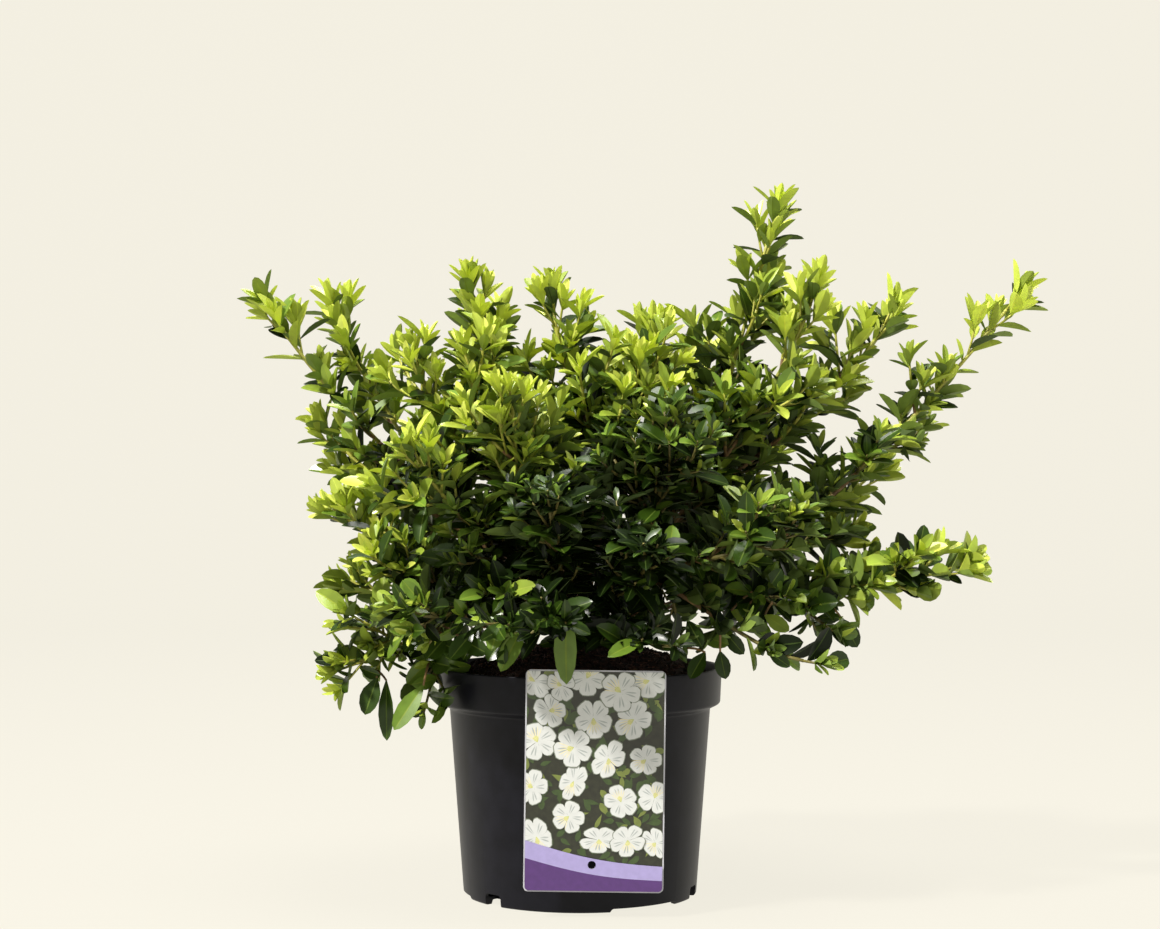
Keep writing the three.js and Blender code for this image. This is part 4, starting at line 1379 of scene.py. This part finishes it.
def turned_flat(outline, angle, centre, squash=1.0, squash_angle=0.0):
    """A flat outline turned and moved, and seen a little from the side if it is squashed."""

    def turn(a):
        return np.array([[cos(a), -sin(a)], [sin(a), cos(a)]])

    shape = outline @ turn(angle - squash_angle).T * (1, squash)
    return shape @ turn(squash_angle).T + centre


def trimmed(outline, axis, limit, side):
    """The part of an outline on one side of a straight cut, as scissors would leave it."""
    kept = []
    for here, there in zip(outline, np.roll(outline, -1, axis=0)):
        inside, next_inside = ((p[axis] - limit) * side <= 0 for p in (here, there))
        if inside:
            kept.append(here)
        if inside != next_inside:
            kept.append(here + (there - here) * (limit - here[axis]) / (there[axis] - here[axis]))
    return np.array(kept)


class Picture(Heap):
    """Flat printed shapes, each laid in front of the ones before and trimmed at the picture's edge."""

    def __init__(self):
        super().__init__()
        self.layer = FIRST_LAYER

    def lay(self, outline, kind):
        self.layer += LAYER_STEP
        half, top = LABEL_WIDTH / 2 - BORDER, LABEL_HEIGHT - BORDER
        for axis, limit, side in ((0, half, 1), (0, -half, -1), (1, top, 1), (1, HIDDEN_FOOT, -1)):
            outline = trimmed(outline, axis, limit, side) if len(outline) else outline
        if len(outline) > 2:
            points = on_card(outline, self.layer)
            self.add(points, [tuple(range(len(points)))], kind)


def lay_blossom(picture, centre, size, turn, squash, random):
    """An open flower: five petals with dark edges and folds, a green throat and fine stamens."""
    lean = random.uniform(0, pi)
    for i in range(5):
        angle = turn + i * 2 * pi / 5 + random.uniform(-0.1, 0.1)
        width = size * random.uniform(0.74, 0.86)
        for grown, kind in ((1.05, EDGE), (1.0, PETAL)):
            outline = petal_outline(size * grown, width * grown)
            picture.lay(turned_flat(outline, angle, centre, squash, lean), kind)
        for side in (-0.16, 0.1):
            fold = petal_outline(size * 0.55, size * 0.07, 0)
            picture.lay(turned_flat(fold + (size * 0.2, 0), angle + side, centre, squash, lean), FOLD)
    throat = petal_outline(size * 0.36, size * 0.26, 0) - (size * 0.06, 0)
    picture.lay(turned_flat(throat, turn + 1.3, centre, squash, lean), THROAT)
    for i in range(6):
        stamen = petal_outline(size * random.uniform(0.6, 0.8), size * 0.04, 0)
        picture.lay(turned_flat(stamen, turn + 1.3 + (i - 2.5) * 0.26, centre, squash, lean), STAMEN)


# %% Print the card's picture
PICTURE_FOOT = 14.0
BLOSSOMS = 21
CARD_LEAVES = 220
BLOSSOM_MARGIN = 4
FIRST_BLOSSOM = (-12.0, 62.0)


def spread_places(count, random):
    """Places over the picture that keep apart: each is the best of many tries."""
    half = LABEL_WIDTH / 2 - BLOSSOM_MARGIN
    low, high = (-half, PICTURE_FOOT + 3 * BLOSSOM_MARGIN), (half, LABEL_HEIGHT - BLOSSOM_MARGIN)
    places = [np.array(FIRST_BLOSSOM)]
    while len(places) < count:
        tries = random.uniform(low, high, (200, 2))
        gaps = np.linalg.norm(tries[:, None] - np.array(places), axis=2).min(axis=1)
        places.append(tries[gaps.argmax()])
    return places


def make_picture(random):
    picture = Picture()
    half = LABEL_WIDTH / 2
    for i in range(CARD_LEAVES):
        centre = random.uniform((-half, PICTURE_FOOT), (half, LABEL_HEIGHT))
        leaf = petal_outline(random.uniform(6, 9.5), random.uniform(2.4, 4), 0)
        picture.lay(turned_flat(leaf, random.uniform(0, 2 * pi), centre), LEAF if i % 4 else LIGHT_LEAF)
    for centre in spread_places(BLOSSOMS, random):
        size = random.uniform(9.5, 13)
        lay_blossom(picture, centre, size, random.uniform(0, ANY_TURN), random.uniform(0.66, 1), random)
    return picture


picture = make_picture(np.random.default_rng(5))
print("shapes in the card's picture:", len(picture.faces))
print_piece = picture.piece("card_blossoms", INKS, smooth=False)

# %% Lay the ground and the bands, with the hole punched through
SHEET = 0.02
IN_FRONT = picture.layer + 1


def band_edge(left, right, sag):
    """A curved line across the card, from left to right."""
    half = LABEL_WIDTH / 2 - BORDER
    shares = np.linspace(0, 1, 25)
    return [(-half + 2 * half * s, left + (right - left) * s + sag * sin(pi * s)) for s in shares]


foot = card_outline(BORDER)
foot_left, foot_right = foot[3 * CORNER_POINTS :], foot[:CORNER_POINTS]
# Each band's upper edge: its height at the left and at the right, and how far it bows
lilac_top = band_edge(29, 15, -3)
purple_top = band_edge(19, 7, -3)
SHEETS = [
    ("card_ground", [card_outline(BORDER), hole_loop()], 1, INKS[GROUND]),
    ("card_lilac_band", [lilac_top + purple_top[::-1], hole_loop()], IN_FRONT, lilac_ink),
    ("card_purple_band", [foot_left + foot_right + purple_top[::-1]], IN_FRONT, purple_ink),
]
sheets = [
    card_sheet(name, loops, SHEET, LABEL_THICKNESS + layer * LAYER, ink_used)
    for name, loops, layer, ink_used in SHEETS
]
for piece in (print_piece, *sheets):
    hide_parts("label")
print("printed sheets:", len(sheets))

# %% [markdown]
# ## Floor, light and camera
#
# The plant stands on a pale sweep: a floor that curves up into a backdrop, so that there is no line
# behind it. A small strong lamp at the upper left gives the crisp leaf shadows of a sunny studio, and
# a pale surround fills the rest. The camera is level, as high as the crown's middle, and far enough
# back that the pot's sides hardly spread.

# %% The sweep
SWEEP_COLOUR = screen_colour(241, 237, 224)
SWEEP_MATT = 0.04
SWEEP_GLOW = 0.965
SWEEP_FRONT = 5.0
SWEEP_DEPTH = 2.2
SWEEP_BEND = 0.9
SWEEP_HALF_WIDTH = 4.0
SWEEP_HEIGHT = 4.0


def make_sweep():
    turns = np.linspace(0, pi / 2, 24)
    outline = [(-SWEEP_FRONT, 0.0)]
    outline += [(SWEEP_DEPTH + SWEEP_BEND * sin(a), SWEEP_BEND * (1 - cos(a))) for a in turns]
    outline.append((SWEEP_DEPTH + SWEEP_BEND, SWEEP_HEIGHT))
    points = [(x, y, z) for y, z in outline for x in (-SWEEP_HALF_WIDTH, SWEEP_HALF_WIDTH)]
    faces = [(2 * i, 2 * i + 1, 2 * i + 3, 2 * i + 2) for i in range(len(outline) - 1)]
    mesh = bpy.data.meshes.new("studio_sweep")
    mesh.from_pydata(points, [], faces)
    mesh.polygons.foreach_set("use_smooth", [True] * len(faces))
    sweep = add_object("studio_sweep", mesh)
    material, _, shader = blank_material("sweep_paper")
    settle(shader, Base_Color=shaded(SWEEP_COLOUR, SWEEP_MATT), Roughness=1.0, Specular_IOR_Level=0.0)
    settle(shader, Emission_Color=SWEEP_COLOUR, Emission_Strength=SWEEP_GLOW)
    mesh.materials.append(material)
    return sweep


sweep = make_sweep()

# %% Lamps and surround
SURROUND_TOP = (0.15, 0.155, 0.15, 1.0)


def lamp(name, place, target, size, power, colour):
    """A square lamp that faces a target."""
    data = bpy.data.lights.new(name, "AREA")
    data.size = size
    data.energy = power
    data.color = colour
    light = add_object(name, data)
    light.location = place
    light.rotation_euler = (Vector(target) - Vector(place)).to_track_quat("-Z", "Y").to_euler()


lamp("key_lamp", (-1.7, -1.45, 2.5), (0.02, 0, 0.22), 0.3, 200, (1.0, 0.97, 0.92))
lamp("top_lamp", (0.35, -0.3, 2.4), (0.05, 0, 0.25), 1.2, 80, (1.0, 0.98, 0.95))
lamp("fill_lamp", (1.9, -2.2, 1.2), (0.05, 0, 0.2), 1.6, 8, (0.96, 0.98, 1.0))


def surround():
    """A pale band round the horizon and a darker, bluer top, by the height of each direction."""
    world = bpy.data.worlds.new("studio_surround")
    world.use_nodes = True
    nodes = world.node_tree.nodes
    place = nodes.new("ShaderNodeTexCoord")
    split = nodes.new("ShaderNodeSeparateXYZ")
    ramp = colour_ramp(nodes, (0.1, SWEEP_COLOUR), (0.3, SURROUND_TOP))
    wire(place, "Generated", split, "Vector")
    wire(split, "Z", ramp, "Fac")
    wire(ramp, "Color", nodes["Background"], "Color")
    return world


bpy.context.scene.world = surround()
bpy.context.scene.view_settings.view_transform = "Standard"

# %% The camera
CAMERA_DISTANCE = 1.386
CAMERA_HEIGHT = 0.256
SENSOR_WIDTH = 36.0
IMAGE_WIDTH = 1160
FOCAL_LENGTH_IN_PIXELS = 2310

camera_data = bpy.data.cameras.new("camera")
camera_data.sensor_width = SENSOR_WIDTH
camera_data.lens = SENSOR_WIDTH * FOCAL_LENGTH_IN_PIXELS / IMAGE_WIDTH
camera = add_object("camera", camera_data)
camera.location = (0, -CAMERA_DISTANCE, CAMERA_HEIGHT)
camera.rotation_euler = (radians(90), 0, 0)
bpy.context.scene.camera = camera
